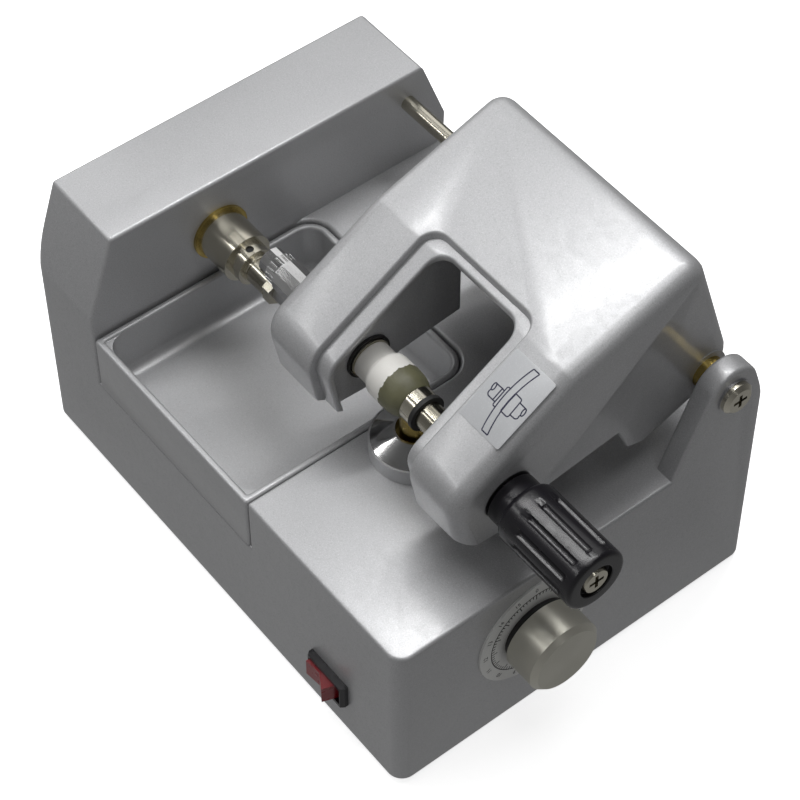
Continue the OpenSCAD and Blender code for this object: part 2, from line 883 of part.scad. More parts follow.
// Outline of a belt round both pulleys, seen from the side
module belt_side(extra) {
  big = [spin_y, spin_z];
  small = [motor_y, motor_z];
  big_r = big_pulley_r + extra;
  small_r = small_pulley_r + extra;
  lean = acos((big_r - small_r) / norm(small - big));
  dir = atan2(small[1] - big[1], small[0] - big[0]);
  polygon(concat(
    [
      for (k = [0 : belt_steps])
        let (a = dir + lean + (360 - 2 * lean) * k / belt_steps)
        big + big_r * [cos(a), sin(a)]
    ],
    [
      for (k = [0 : belt_steps])
        let (a = dir - lean + 2 * lean * k / belt_steps)
        small + small_r * [cos(a), sin(a)]
    ]
  ));
}

module drive_belt() {
  color(black_c) placed() along_x(pulley_x + pulley_rim + pass, pulley_x + pulley_l - pulley_rim - pass)
    difference() {
      belt_side(belt_t + 2 * fit);
      belt_side(2 * fit);
    }
}

module switch_body() {
  low = switch_z - bezel_h / 2;
  left = switch_x - bezel_l / 2;
  color(black_c) placed() difference() {
    union() {
      translate([0, 0, low]) linear_extrude(bezel_h) polygon([
        [left, 0], [left, -bezel_t / 2], [left + bezel_cut, -bezel_t],
        [left + bezel_l - bezel_cut, -bezel_t], [left + bezel_l, -bezel_t / 2], [left + bezel_l, 0]
      ]);
      box([switch_x - switch_l / 2 + pass, 0, switch_z - switch_h / 2 + pass],
        [switch_x + switch_l / 2 - pass, switch_d, switch_z + switch_h / 2 - pass]);
    }
    box([switch_x - pocket_l / 2, -bezel_t - over, switch_z - pocket_h / 2],
      [switch_x + pocket_l / 2, pocket_d, switch_z + pocket_h / 2]);
    translate([switch_x, rocker_pivot, switch_z - rocker_h / 2 - rocker_pin_l - fit])
      cylinder(h = rocker_h + 2 * rocker_pin_l + 2 * fit, r = rocker_pin_r + fit);
  }
}

module switch_rocker() {
  color(red_c) placed() translate([switch_x, rocker_pivot, switch_z]) rotate([0, 0, -rocker_tilt]) {
    translate([0, 0, -rocker_h / 2]) linear_extrude(rocker_h) {
      polygon([
        [-rocker_half, -rocker_back], [-rocker_half, -rocker_pivot], [-rocker_tip, -rocker_reach],
        [0, -rocker_mid - rocker_pivot],
        [rocker_tip, -rocker_reach], [rocker_half, -rocker_pivot], [rocker_half, -rocker_back]
      ]);
      circle(rocker_hub_r);
    }
    translate([0, 0, -rocker_h / 2 - rocker_pin_l])
      cylinder(h = rocker_h + 2 * rocker_pin_l, r = rocker_pin_r);
  }
}

module power_inlet() {
  color(black_c) placed() translate([inlet_x, base_d, inlet_z]) {
    difference() {
      union() {
        rotate([-90, 0, 0]) translate([-inlet_l / 2, -inlet_h / 2]) linear_extrude(inlet_t)
          round_rect(inlet_l, inlet_h, inlet_r);
        box([-inlet_body_l / 2 + pass, -inlet_body_d, -inlet_body_h / 2 + pass],
          [inlet_body_l / 2 - pass, 0, inlet_body_h / 2 - pass]);
      }
      rotate([-90, 0, 0]) translate([-socket_l / 2, -socket_h / 2, inlet_t - socket_d])
        linear_extrude(socket_d + over) round_rect(socket_l, socket_h, socket_r);
      for (side = [-1, 1])
        translate([side * inlet_screw_pitch, inlet_t + over, 0]) rotate([90, 0, 0])
          cylinder(h = inlet_t + 2 * over, r = screw_r);
    }
    for (side = [-1, 0, 1])
      translate([side * pin_pitch, inlet_t - socket_d, side == 0 ? pin_up : -pin_up])
        translate([-pin_w / 2, 0, -pin_h / 2]) cube([pin_w, pin_l, pin_h]);
  }
}

module board_standoffs() {
  color(brass_c) placed()
    for (x = [standoff_in, board_l - standoff_in], y = [standoff_in, board_d - standoff_in])
      translate([board_x + x, board_y + y, plate_t]) cylinder(h = standoff_h, r = standoff_r);
}

module control_board() {
  top = plate_t + standoff_h + board_t;
  color(board_c) placed() {
    box([board_x, board_y, plate_t + standoff_h], [board_x + board_l, board_y + board_d, top]);
    translate([board_x + standoff_in * 2, board_y + standoff_in * 2, top]) cube([relay_l, relay_d, relay_h]);
    for (k = [1 : 2])
      translate([board_x + board_l - cap_r * 2 * k, board_y + board_d / 2, top])
        cylinder(h = cap_h, r = cap_r - pass);
  }
}

module pivot_shaft() {
  color(nickel_c) placed() difference() {
    bar_x(house_w - shaft_boss_l, base_l, pivot_r, pivot_y, pivot_z);
    bar_x(base_l - pivot_hole_l, base_l + over, pivot_hole_r, pivot_y, pivot_z);
  }
}

module pivot_washer() {
  color(steel_c) placed() tube_x(base_l, base_l + washer_t, washer_r, pivot_hole_r, pivot_y, pivot_z);
}

module pivot_screw() {
  x1 = base_l + washer_t;
  color(nickel_c) placed() difference() {
    union() {
      bar_x(base_l - pivot_hole_l + over, x1, pivot_hole_r, pivot_y, pivot_z);
      bar_x(x1, x1 + pan_h / 2, pan_r, pivot_y, pivot_z);
      taper_x(x1 + pan_h / 2, x1 + pan_h, pan_r, pan_r - pan_h / 2, pivot_y, pivot_z);
    }
    cross_x(x1 + pan_h, pivot_y, pivot_z);
  }
}

// Head outline corners: a place, its corner radius and the number of facets round it
head_corners = [
  for (p = head_outline_shares)
    [pivot_y + p[0] * lens_reach, pivot_z + p[1] * lens_reach, p[2] * head_edge, p[3]]
];
head_n = len(head_corners);

function flat(p) = [p[0], p[1]];
function outward(a, b) = [b[1] - a[1], a[0] - b[0]] / norm(flat(b) - flat(a));
function turned(n) = atan2(n[1], n[0]);

// Points round corner k of the outline, drawn in by inset
function corner_points(k, inset) =
  let (
    p = head_corners[k],
    n1 = outward(head_corners[(k + head_n - 1) % head_n], p),
    n2 = outward(p, head_corners[(k + 1) % head_n]),
    reach = (n1 + n2) / (1 + n1 * n2),
    a1 = turned(n1),
    a2 = a1 + (turned(n2) - a1 + 720) % 360
  )
  p[3] == 0 ? [flat(p) - inset * reach] : [
    for (i = [0 : p[3]])
      let (a = a1 + (a2 - a1) * i / p[3])
      flat(p) - p[2] * reach + (p[2] - inset) * [cos(a), sin(a)]
  ];

// One ring of the skin, and how far each of its points draws in behind the fold line at the rear
function ring_points(inset) = [for (k = [0 : head_n - 1]) for (q = corner_points(k, inset)) q];
fold_a = head_corners[0][3] + 1;
fold_b = fold_a + head_corners[2][3] + head_corners[3][3] + 3;
function draw_in(q, ring) =
  let (along = (ring[fold_b] - ring[fold_a]) / norm(ring[fold_b] - ring[fold_a]), away = q - ring[fold_a])
  max(0, away[0] * along[1] - away[1] * along[0]) * head_fold;

// The head's closed outer form, drawn in by an even amount
module head_solid(inset) {
  e = head_edge - inset;
  rings = [for (t = [0 : edge_steps]) ring_points(inset + e * (1 - sin(90 * t / edge_steps)))];
  n = len(rings[0]);
  last = 2 * edge_steps + 1;
  points = [
    for (j = [0 : last])
      let (t = j <= edge_steps ? j : last - j, sink = inset + e * (1 - cos(90 * t / edge_steps)))
      for (q = rings[t])
        let (x = sink + draw_in(q, rings[t]))
        [j <= edge_steps ? head_x1 + x : head_x2 - x, q[0], q[1]]
  ];
  polyhedron(points = points, faces = concat(
    [[for (i = [fold_b : n + fold_a]) i % n], [for (i = [fold_a : fold_b]) i]],
    [
      [for (i = [n + fold_a : -1 : fold_b]) last * n + i % n],
      [for (i = [fold_b : -1 : fold_a]) last * n + i]
    ],
    [
      for (j = [0 : last - 1], i = [0 : n - 1])
        [(j + 1) * n + (i + 1) % n, j * n + (i + 1) % n, j * n + i]
    ],
    [
      for (j = [0 : last - 1], i = [0 : n - 1])
        [(j + 1) * n + i, (j + 1) * n + (i + 1) % n, j * n + i]
    ]
  ));
}

// Upright prism of a slot that is open to the front, with round back corners
module slot_prism(x1, x2, y2, r) {
  translate([0, 0, 0]) linear_extrude(2 * house_h) {
    translate([x1, -over]) square([x2 - x1, y2 - r + over]);
    translate([x1 + r, -over]) square([x2 - x1 - 2 * r, y2 + over]);
    for (x = [x1 + r, x2 - r])
      translate([x, y2 - r]) circle(r);
  }
}

module head_shell() {
  slot_y = pivot_y - slot_back;
  color(casting_c) placed() difference() {
    union() {
      difference() {
        head_solid(0);
        head_solid(head_wall);
        slot_prism(recess_x1, recess_x2, slot_y, recess_r);
      }
      // Lip of the recess
      intersection() {
        difference() {
          head_solid(recess);
          head_solid(recess + lip_t);
        }
        difference() {
          slot_prism(recess_x1 - lip_root, recess_x2 + lip_root, slot_y + lip_root, recess_r + lip_root);
          slot_prism(recess_x1 + lip_left, right_face, slot_y - lip_back, slot_r);
        }
      }
      // Inner walls of the arms and the tubes that carry the bearings
      intersection() {
        head_solid(recess + lip_t / 2);
        union() {
          box([recess_x1, 0, 0], [left_face, lens_y + inner_wall_d - head_edge * 2, 2 * house_h]);
          box([right_face, 0, 0], [recess_x2, lens_y + inner_wall_d - head_edge * 2, 2 * house_h]);
          bar_x(head_x1, left_face, left_boss_r, lens_y, lens_z);
          bar_x(right_face, head_x2, right_boss_r, lens_y, lens_z);
        }
      }
      bar_x(head_x1 + pivot_boss_in, head_x1 + pivot_boss_l, pivot_boss_r, pivot_y, pivot_z);
      bar_x(head_x2 - pivot_boss_l, head_x2 - pivot_boss_in, pivot_boss_r, pivot_y, pivot_z);
    }
    // Open underside
    along_x(head_x1 - over, head_x2 + over) polygon(concat(
      [for (p = head_rim_shares) [pivot_y + p[0] * lens_reach, pivot_z + p[1] * lens_reach]],
      [[base_d + lens_reach, 0], [-lens_reach, 0]]
    ));
    bar_x(head_x1 - over, left_face + over, left_bearing_r, lens_y, lens_z);
    bar_x(right_face - over, head_x2 + over, right_bearing_r, lens_y, lens_z);
    bar_x(head_x1 - over, head_x2 + over, pivot_bush_r, pivot_y, pivot_z);
  }
}

module pivot_bushes() {
  color(brass_c) placed() {
    tube_x(head_x1 + pivot_boss_in, head_x1 + pivot_boss_l, pivot_bush_r, pivot_r + fit, pivot_y, pivot_z);
    tube_x(head_x1 - pivot_boss_in, head_x1 + pivot_boss_in, pivot_flange_r, pivot_r + fit,
      pivot_y, pivot_z);
    tube_x(head_x2 - pivot_boss_l, head_x2 - pivot_boss_in, pivot_bush_r, pivot_r + fit, pivot_y, pivot_z);
    tube_x(head_x2 - pivot_boss_in, ear_x - pass, pivot_flange_r, pivot_r + fit, pivot_y, pivot_z);
  }
}

module arm_bearings() {
  color(steel_c) placed() {
    for (x = [head_x1, left_face - arm_bearing_l])
      tube_x(x, x + arm_bearing_l, left_bearing_r, pattern_r + fit, lens_y, lens_z);
    for (x = [right_face, head_x2 - arm_bearing_l])
      tube_x(x, x + arm_bearing_l, right_bearing_r, quill_r + fit, lens_y, lens_z);
  }
}

module shaft_seal() {
  color(rubber_c) placed()
    tube_x(left_face, left_face + seal_t, seal_r, chuck_ring_r + seal_in, lens_y, lens_z);
}

// The plate lies on the slope between the nose and the crease of the right arm
module diagram_plate() {
  low = head_corners[6];
  high = head_corners[5];
  tilt = atan2(high[1] - low[1], high[0] - low[0]);
  middle = flat(low) + label_up_share * (flat(high) - flat(low));
  color(white_c) placed()
    translate([head_x2 - label_in - label_l, middle[0], middle[1]]) rotate([tilt, 0, 0])
      translate([0, -label_d / 2, 0]) linear_extrude(label_t) round_rect(label_l, label_d, over);
}

module stop_bar() {
  z1 = deck_h + stop_up;
  color(steel_c) placed()
    box([head_x1 + head_wall + pass, stop_y - stop_bar_d / 2, z1],
      [head_x2 - head_wall - pass, stop_y + stop_bar_d / 2, z1 + stop_bar_t]);
}

module stop_post() {
  color(steel_c) placed() translate([stop_x, stop_y, deck_h - wall])
    cylinder(h = wall + stop_up, r = stop_r);
}

module stop_nut() {
  color(steel_c) placed() translate([stop_x, stop_y, deck_h]) difference() {
    cylinder(h = stop_nut_h, r = stop_nut_r, $fn = 6);
    translate([0, 0, -over]) cylinder(h = stop_nut_h + 2 * over, r = stop_r);
  }
}

module pattern_shaft() {
  seat_x = head_x1 - seat_gap - seat_l;
  color(nickel_c) placed() {
    bar_x(head_x1 - clamp_out + over, chuck_face_x - chuck_bore_l, pattern_r, lens_y, lens_z);
    bar_x(seat_x, seat_x + seat_l, seat_r, lens_y, lens_z);
    bar_x(left_face + pass, left_face + pass + chuck_ring_l, chuck_ring_r, lens_y, lens_z);
  }
}

// Three steps that grow towards the arm: flats, grooves, flats
module pattern_clamp() {
  x1 = head_x1 - clamp_out;
  color(chrome_c) placed() difference() {
    union() {
      for (k = [0, 2])
        translate([x1 + tier_at[k], lens_y, lens_z])
          rotate([0, 90, 0]) rotate([0, 0, 90 * k / tier_flats])
            cylinder(h = tier_at[k + 1] - tier_at[k], r = clamp_r * tier_shares[k][1],
              $fn = tier_flats);
      bar_x(x1 + tier_at[1], x1 + tier_at[2], clamp_r * tier_shares[1][1], lens_y, lens_z);
    }
    for (k = [0 : tier_grooves - 1]) {
      turn = 360 * k / tier_grooves;
      r = clamp_r * tier_shares[1][1];
      bar_x(x1 + tier_at[1], x1 + tier_at[2], tier_bite,
        lens_y + r * cos(turn), lens_z + r * sin(turn));
    }
    bar_x(x1 + over, head_x1, pattern_r, lens_y, lens_z);
  }
}

module lens_chuck() {
  x1 = left_face + pass + chuck_ring_l;
  color(white_c) placed() difference() {
    union() {
      bar_x(x1, x1 + chuck_l, chuck_r, lens_y, lens_z);
      taper_x(x1 + chuck_l, x1 + chuck_l + flare_l, chuck_r, face_r, lens_y, lens_z);
      bar_x(x1 + chuck_l + flare_l, chuck_face_x, face_r, lens_y, lens_z);
    }
    bar_x(x1 - over, chuck_face_x - chuck_bore_l, pattern_r, lens_y, lens_z);
  }
}

module lens_pad() {
  color(olive_c) placed() {
    bar_x(chuck_face_x, chuck_face_x + pad_flat_l, face_r, lens_y, lens_z);
    taper_x(chuck_face_x + pad_flat_l, pad_x, face_r, collar_r, lens_y, lens_z);
  }
}

module clamp_shaft() {
  flange_x = quill_x1 + shaft_flange_in;
  color(nickel_c) placed() difference() {
    union() {
      bar_x(pad_x, collar_x, collar_r, lens_y, lens_z);
      bar_x(collar_x, shaft_end, shaft_r, lens_y, lens_z);
      bar_x(flange_x, flange_x + shaft_flange_l, quill_in_r, lens_y, lens_z);
    }
    bar_x(shaft_end - pivot_hole_l, shaft_end + over, pivot_hole_r, lens_y, lens_z);
  }
}

module shaft_ring() {
  color(rubber_c) placed()
    tube_x(collar_x, collar_x + black_ring_l, black_ring_r, shaft_r, lens_y, lens_z);
}

module clamp_quill() {
  color(steel_c) placed() difference() {
    bar_x(quill_x1, quill_x2, quill_r, lens_y, lens_z);
    bar_x(quill_x1 - over, quill_x2 - quill_cap, quill_in_r + fit, lens_y, lens_z);
    bar_x(quill_x1, quill_x2 + over, shaft_r + fit, lens_y, lens_z);
  }
}

// Wave spring that stands on the origin's floor: flat rings joined by links on alternate sides
module wave_spring(l, r, turns) {
  step = (l - wire) / turns;
  for (k = [0 : turns])
    translate([0, 0, k * step]) difference() {
      cylinder(h = wire, r = r);
      translate([0, 0, -over]) cylinder(h = wire + 2 * over, r = r - wire);
    }
  for (k = [0 : turns - 1])
    rotate([0, 0, 180 * (k % 2)]) translate([r - wire, -wire / 2, k * step])
      cube([wire * 3 / 4, wire, step + wire]);
}

module clamp_spring() {
  x1 = quill_x1 + shaft_flange_in + shaft_flange_l;
  color(steel_c) placed() translate([x1, lens_y, lens_z]) rotate([0, 90, 0])
    wave_spring(quill_x2 - quill_cap - x1, quill_in_r - spring_gap, spring_turns);
}

module clamp_knob() {
  body_x = knob_x + hub_l;
  color(black_c) placed() difference() {
    union() {
      bar_x(knob_x, body_x, hub_r, lens_y, lens_z);
      taper_x(body_x, body_x + shoulder_l / 2, hub_r + shoulder_l / 2, knob_r, lens_y, lens_z);
      bar_x(body_x + shoulder_l / 2, knob_end - knob_edge, knob_r, lens_y, lens_z);
      taper_x(knob_end - knob_edge, knob_end, knob_r, knob_r - knob_edge, lens_y, lens_z);
    }
    for (k = [0 : knob_flutes - 1]) {
      turn = 360 * k / knob_flutes;
      bar_x(body_x + knob_flute_from, knob_end - knob_flute_end, knob_flute_r,
        lens_y + knob_r * cos(turn), lens_z + knob_r * sin(turn));
    }
    bar_x(knob_x - over, shaft_end, shaft_r, lens_y, lens_z);
    bar_x(shaft_end - over, knob_end, pivot_hole_r, lens_y, lens_z);
    bar_x(knob_end - knob_recess_d, knob_end + over, knob_recess_r, lens_y, lens_z);
  }
}

module knob_screw() {
  x1 = knob_end - knob_recess_d;
  color(nickel_c) placed() difference() {
    union() {
      bar_x(shaft_end - pivot_hole_l + over, x1, pivot_hole_r, lens_y, lens_z);
      taper_x(x1, x1 + knob_recess_d, knob_screw_r, knob_screw_r - knob_screw_h / 2, lens_y, lens_z);
    }
    cross_x(x1 + knob_recess_d, lens_y, lens_z);
  }
}

module dial_plate() {
  color(alu_c) placed() tube_x(base_l, base_l + dial_plate_t, plate_r, dial_bush_lip_r, dial_y, dial_z);
}

module dial_bush() {
  color(brass_c) placed() difference() {
    union() {
      bar_x(base_l - wall - dial_bush_lip, base_l + dial_plate_t, dial_bush_r, dial_y, dial_z);
      bar_x(base_l, base_l + dial_plate_t, dial_bush_lip_r, dial_y, dial_z);
      bar_x(base_l - wall - dial_bush_lip, base_l - wall, dial_bush_lip_r, dial_y, dial_z);
    }
    bar_x(0, base_l + dial_l, dial_shaft_r + fit, dial_y, dial_z);
  }
}

module dial_shaft() {
  color(steel_c) placed()
    bar_x(rest_x - cam_t / 2 - over, dial_knob_x + dial_l / 2, dial_shaft_r, dial_y, dial_z);
}

module dial_spacer() {
  color(rubber_c) placed()
    tube_x(base_l + dial_plate_t + pass / 2, dial_knob_x, dial_spacer_r, dial_shaft_r, dial_y, dial_z);
}

// Two set screw holes, a quarter turn apart, near the foot of the knob
dial_screw_turns = [-60, -150];

module dial_knob() {
  color(alu_c) placed() difference() {
    union() {
      bar_x(dial_knob_x, dial_end - dial_bevel_l, dial_r, dial_y, dial_z);
      taper_x(dial_end - dial_bevel_l, dial_end, dial_r, dial_r - dial_bevel, dial_y, dial_z);
    }
    bar_x(dial_knob_x - over, dial_knob_x + dial_l / 2, dial_shaft_r, dial_y, dial_z);
    for (turn = dial_screw_turns)
      translate([dial_knob_x + dial_screw_in, dial_y, dial_z]) rotate([turn, 0, 0])
        cylinder(h = dial_r + over, r = dial_screw_r);
  }
}

module dial_screws() {
  color(black_c) placed() for (turn = dial_screw_turns)
    translate([dial_knob_x + dial_screw_in, dial_y, dial_z]) rotate([turn, 0, 0])
      translate([0, 0, dial_shaft_r]) cylinder(h = dial_screw_l, r = dial_screw_r);
}

// Snail cam: its radius grows evenly with the turn, and is cam_r straight up at rest
module size_cam() {
  color(steel_c) placed() difference() {
    along_x(rest_x - cam_t / 2, rest_x + cam_t / 2) translate([dial_y, dial_z])
      polygon([
        for (k = [0 : cam_steps])
          let (turn = 360 * k / cam_steps - 180, r = cam_r + cam_lead * turn / 360)
          [-r * sin(turn), r * cos(turn)]
      ]);
    bar_x(0, base_l, dial_shaft_r, dial_y, dial_z);
  }
}

// Angle bracket under the deck that carries the inner end of the dial shaft
module cam_bracket() {
  x1 = rest_x + bracket_in;
  top = deck_h - wall;
  color(steel_c) placed() difference() {
    union() {
      translate([x1, dial_y - cam_bracket_w / 2, dial_z - cam_bracket_drop])
        cube([cam_bracket_t, cam_bracket_w, top - dial_z + cam_bracket_drop]);
      translate([x1, dial_y - cam_bracket_w / 2, top - cam_bracket_t])
        cube([cam_bracket_foot, cam_bracket_w, cam_bracket_t]);
    }
    bar_x(0, base_l, dial_shaft_r + fit, dial_y, dial_z);
  }
}

module rest_flange() {
  color(casting_c) placed() translate([rest_x, rest_y, deck_h]) difference() {
    cylinder(h = flange_h, r = flange_r);
    translate([0, 0, -over]) cylinder(h = flange_h + 2 * over, r = guide_r);
  }
}

module rest_cone() {
  color(chrome_c) placed() translate([rest_x, rest_y, deck_h + flange_h]) difference() {
    cylinder(h = cone_h, r1 = cone_low_r, r2 = cone_top_r);
    translate([0, 0, -over]) cylinder(h = cone_h + 2 * over, r = cone_bore_r);
  }
}

module rest_guide() {
  color(brass_c) placed() translate([rest_x, rest_y, deck_h - guide_drop]) difference() {
    cylinder(h = guide_drop + flange_h, r = guide_r);
    translate([0, 0, -over]) cylinder(h = guide_drop + flange_h + 2 * over, r = rest_r + fit);
  }
}

module rest_spring() {
  z1 = post_low + post_foot_h;
  color(steel_c) placed() translate([rest_x, rest_y, z1])
    wave_spring(deck_h - guide_drop - z1, post_foot_r - wire / 2, rest_turns);
}

module rest_post() {
  top = deck_h + rest_up;
  color(brass_c) placed() translate([rest_x, rest_y, 0]) difference() {
    union() {
      translate([0, 0, post_low]) cylinder(h = top - post_low - post_bevel, r = rest_r);
      translate([0, 0, top - post_bevel]) cylinder(h = post_bevel, r1 = rest_r, r2 = rest_r - post_bevel);
      translate([0, 0, post_low]) cylinder(h = post_foot_h, r = post_foot_r);
    }
    translate([-rest_r - over, 0, top - post_hole_down]) rotate([0, 90, 0])
      cylinder(h = 2 * rest_r + 2 * over, r = post_hole_r);
  }
}

base_casing();
bottom_plate();
case_screws();
rubber_feet();
belt_cover();
chip_tray();
spindle_bush();
bearing_block();
spindle_bearings();
spindle_shaft();
lock_ring();
lock_screw();
collet();
cutter();
spindle_pulley();
motor_case();
motor_bracket();
motor_rotor();
motor_pulley();
drive_belt();
switch_body();
switch_rocker();
power_inlet();
control_board();
board_standoffs();
pivot_shaft();
pivot_washer();
pivot_screw();
head_shell();
pivot_bushes();
arm_bearings();
shaft_seal();
diagram_plate();
stop_bar();
stop_post();
stop_nut();
pattern_shaft();
pattern_clamp();
lens_chuck();
clamp_quill();
clamp_shaft();
clamp_spring();
shaft_ring();
lens_pad();
clamp_knob();
knob_screw();
dial_plate();
dial_bush();
dial_shaft();
dial_spacer();
dial_knob();
dial_screws();
size_cam();
cam_bracket();
rest_flange();
rest_cone();
rest_guide();
rest_spring();
rest_post();
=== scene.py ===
"""Lens pattern maker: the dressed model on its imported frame, in metres.
X runs from the tall housing on the left to the knobs on the right, Y from the front to the back, Z up.
Sizes and places are in millimetres, places from the casing's corner. at() turns them into frame points."""
import json
import math

import bmesh
import bpy
from mathutils import Matrix, Vector


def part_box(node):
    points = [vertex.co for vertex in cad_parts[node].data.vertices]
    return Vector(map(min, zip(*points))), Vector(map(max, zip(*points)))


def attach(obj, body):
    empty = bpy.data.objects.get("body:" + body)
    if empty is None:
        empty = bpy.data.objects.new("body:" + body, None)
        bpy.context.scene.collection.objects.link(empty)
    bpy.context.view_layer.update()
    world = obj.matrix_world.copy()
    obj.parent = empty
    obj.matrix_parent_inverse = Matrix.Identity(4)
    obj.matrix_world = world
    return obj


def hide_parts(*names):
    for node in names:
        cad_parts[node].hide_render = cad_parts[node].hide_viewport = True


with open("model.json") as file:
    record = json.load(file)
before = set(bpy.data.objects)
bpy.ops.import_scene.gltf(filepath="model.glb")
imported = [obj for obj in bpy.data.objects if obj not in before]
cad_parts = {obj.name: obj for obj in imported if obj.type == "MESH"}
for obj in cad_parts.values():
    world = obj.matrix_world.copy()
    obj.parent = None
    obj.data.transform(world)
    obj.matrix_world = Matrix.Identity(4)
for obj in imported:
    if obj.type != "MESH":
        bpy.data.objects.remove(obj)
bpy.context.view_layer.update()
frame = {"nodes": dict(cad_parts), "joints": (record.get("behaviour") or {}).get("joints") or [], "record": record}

MM = 0.001
SLOTS = {part["node"]: part["material_slot"] for part in frame["record"]["subparts"]}
BODY_OF = {node: body for body, nodes in frame["record"]["behaviour"]["bodies"].items() for node in nodes}
# The casing's corner in the frame: left face, front face and underside
CORNER = Vector(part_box("base_casing")[0])


def at(x, y, z):
    """A point given from the casing's corner in millimetres, in the frame."""
    return CORNER + Vector((x, y, z)) * MM


def mm(point):
    """A frame point, from the casing's corner in millimetres."""
    return (Vector(point) - CORNER) / MM


def box_of(node):
    """A node's lowest and highest corners, from the casing's corner in millimetres."""
    return [mm(corner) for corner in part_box(node)]


def middle_of(node):
    low, high = box_of(node)
    return (low + high) / 2


# Points on the axes of the joints
JOINT_AT = {joint["name"]: mm(joint["pos_m"]) for joint in frame["joints"] if "pos_m" in joint}
SPINDLE, PIVOT = JOINT_AT["spindle_turn"], JOINT_AT["head_lift"]
LENS, DIAL = JOINT_AT["quill_turn"], JOINT_AT["dial_turn"]
# Upright axes on the deck
REST, STOP = middle_of("rest_flange"), middle_of("stop_nut")
# Length, depth and height of the casing, height of its deck, and width of its tall housing
BASE_L, BASE_D, HOUSE_H = box_of("base_casing")[1]
DECK = box_of("rest_flange")[0].z
HOUSE_W = 43.0
# A point nearer to a plane than this lies on it, and sizes that differ by less than this are the same
NEAR, SAME_SIZE = 0.1, 0.01


# Materials


def shade(color, factor, lift=0.0):
    """The colour made paler or darker by a factor, with no channel over 1."""
    return tuple(min(1.0, c * factor + lift) for c in color)


class Nodes:
    """Shorthand for building one material's node tree."""

    def __init__(self, name):
        self.material = bpy.data.materials.new(name)
        self.material.use_nodes = True
        self.tree = self.material.node_tree
        self.tree.nodes.clear()
        self.shader = self.tree.nodes.new("ShaderNodeBsdfPrincipled")
        out = self.tree.nodes.new("ShaderNodeOutputMaterial")
        self.link(self.shader.outputs["BSDF"], out.inputs["Surface"])
        self.coords = self.tree.nodes.new("ShaderNodeTexCoord").outputs["Object"]

    def link(self, a, b):
        self.tree.links.new(a, b)

    def put(self, value, socket):
        """Links a socket, or sets a colour or a number."""
        if isinstance(value, bpy.types.NodeSocket):
            self.link(value, socket)
        elif isinstance(value, tuple):
            socket.default_value = (*value, 1)
        else:
            socket.default_value = value

    def noise(self, scale, detail=3.0, rough=0.55, vector=None):
        n = self.tree.nodes.new("ShaderNodeTexNoise")
        n.inputs["Scale"].default_value = scale
        n.inputs["Detail"].default_value = detail
        n.inputs["Roughness"].default_value = rough
        self.link(vector or self.coords, n.inputs["Vector"])
        return n.outputs["Fac"]

    def stretched(self, scale):
        n = self.tree.nodes.new("ShaderNodeMapping")
        n.inputs["Scale"].default_value = scale
        self.link(self.coords, n.inputs["Vector"])
        return n.outputs["Vector"]

    def span(self, fac, low, high, start=0.3, end=0.7):
        """Low where fac is at start or under it, high where it is at end or over it, even between."""
        n = self.tree.nodes.new("ShaderNodeMapRange")
        self.link(fac, n.inputs["Value"])
        n.inputs["From Min"].default_value = start
        n.inputs["From Max"].default_value = end
        n.inputs["To Min"].default_value = low
        n.inputs["To Max"].default_value = high
        return n.outputs["Result"]

    def mix(self, fac, a, b):
        n = self.tree.nodes.new("ShaderNodeMix")
        n.data_type = "RGBA"
        # Three kinds of sockets share their names here, and these are the factor's and the colours' own
        fac_in, a_in, b_in, color_out = n.inputs[0], n.inputs[6], n.inputs[7], n.outputs[2]
        self.put(fac, fac_in)
        self.put(a, a_in)
        self.put(b, b_in)
        return color_out

    def bump(self, height, strength, distance, normal=None):
        n = self.tree.nodes.new("ShaderNodeBump")
        n.inputs["Strength"].default_value = strength
        n.inputs["Distance"].default_value = distance
        self.link(height, n.inputs["Height"])
        if normal:
            self.link(normal, n.inputs["Normal"])
        return n.outputs["Normal"]

    def pointiness(self):
        """Over 0.5 on ridges and under it in creases."""
        return self.tree.nodes.new("ShaderNodeNewGeometry").outputs["Pointiness"]

    def radial_tangent(self, axis):
        n = self.tree.nodes.new("ShaderNodeTangent")
        n.direction_type = "RADIAL"
        n.axis = axis.upper()
        return n.outputs["Tangent"]

    def set(self, **values):
        """Sets the shader's sockets, whose names have spaces where the keywords have underscores."""
        for key, value in values.items():
            self.put(value, self.shader.inputs[key.replace("_", " ")])
        return self.material


def silver_paint(name, light, dark, grain=1.0, rough=0.42):
    """Silver-grey paint: fine bright and dark flakes in an even coat, some orange peel, painted highlight on the
    edges.
    """
    n = Nodes(name)
    clouds = n.noise(scale=14, detail=3, rough=0.5)
    flakes = n.noise(scale=2100, detail=2, rough=0.7)
    pits = n.noise(scale=1500, detail=2, rough=0.6)
    patches = n.noise(scale=300, detail=3)
    base = n.mix(n.span(clouds, 0, 1), dark, light)
    bright = n.span(flakes, low=0.0, high=0.55 * grain, start=0.50, end=0.75)
    base = n.mix(bright, base, shade(light, 1.45))
    dim = n.span(pits, low=0.0, high=0.45 * grain, start=0.52, end=0.75)
    base = n.mix(dim, base, shade(dark, 0.62))
    # Painted highlight: ridges and rounded edges are made paler, as if they caught the light
    edges = n.span(n.pointiness(), low=0, high=0.45, start=0.53, end=0.60)
    base_with_painted_highlight = n.mix(edges, base, shade(light, 1.3))
    peel = n.bump(n.noise(scale=700, detail=2, rough=0.5), strength=0.12, distance=0.00010)
    return n.set(Base_Color=base_with_painted_highlight, Metallic=0.42, Roughness=n.span(patches, rough - 0.04, rough + 0.06),
                 Normal=n.bump(flakes, strength=0.16, distance=0.00005, normal=peel),
                 Specular_IOR_Level=0.5, Coat_Weight=0.50, Coat_Roughness=0.16)


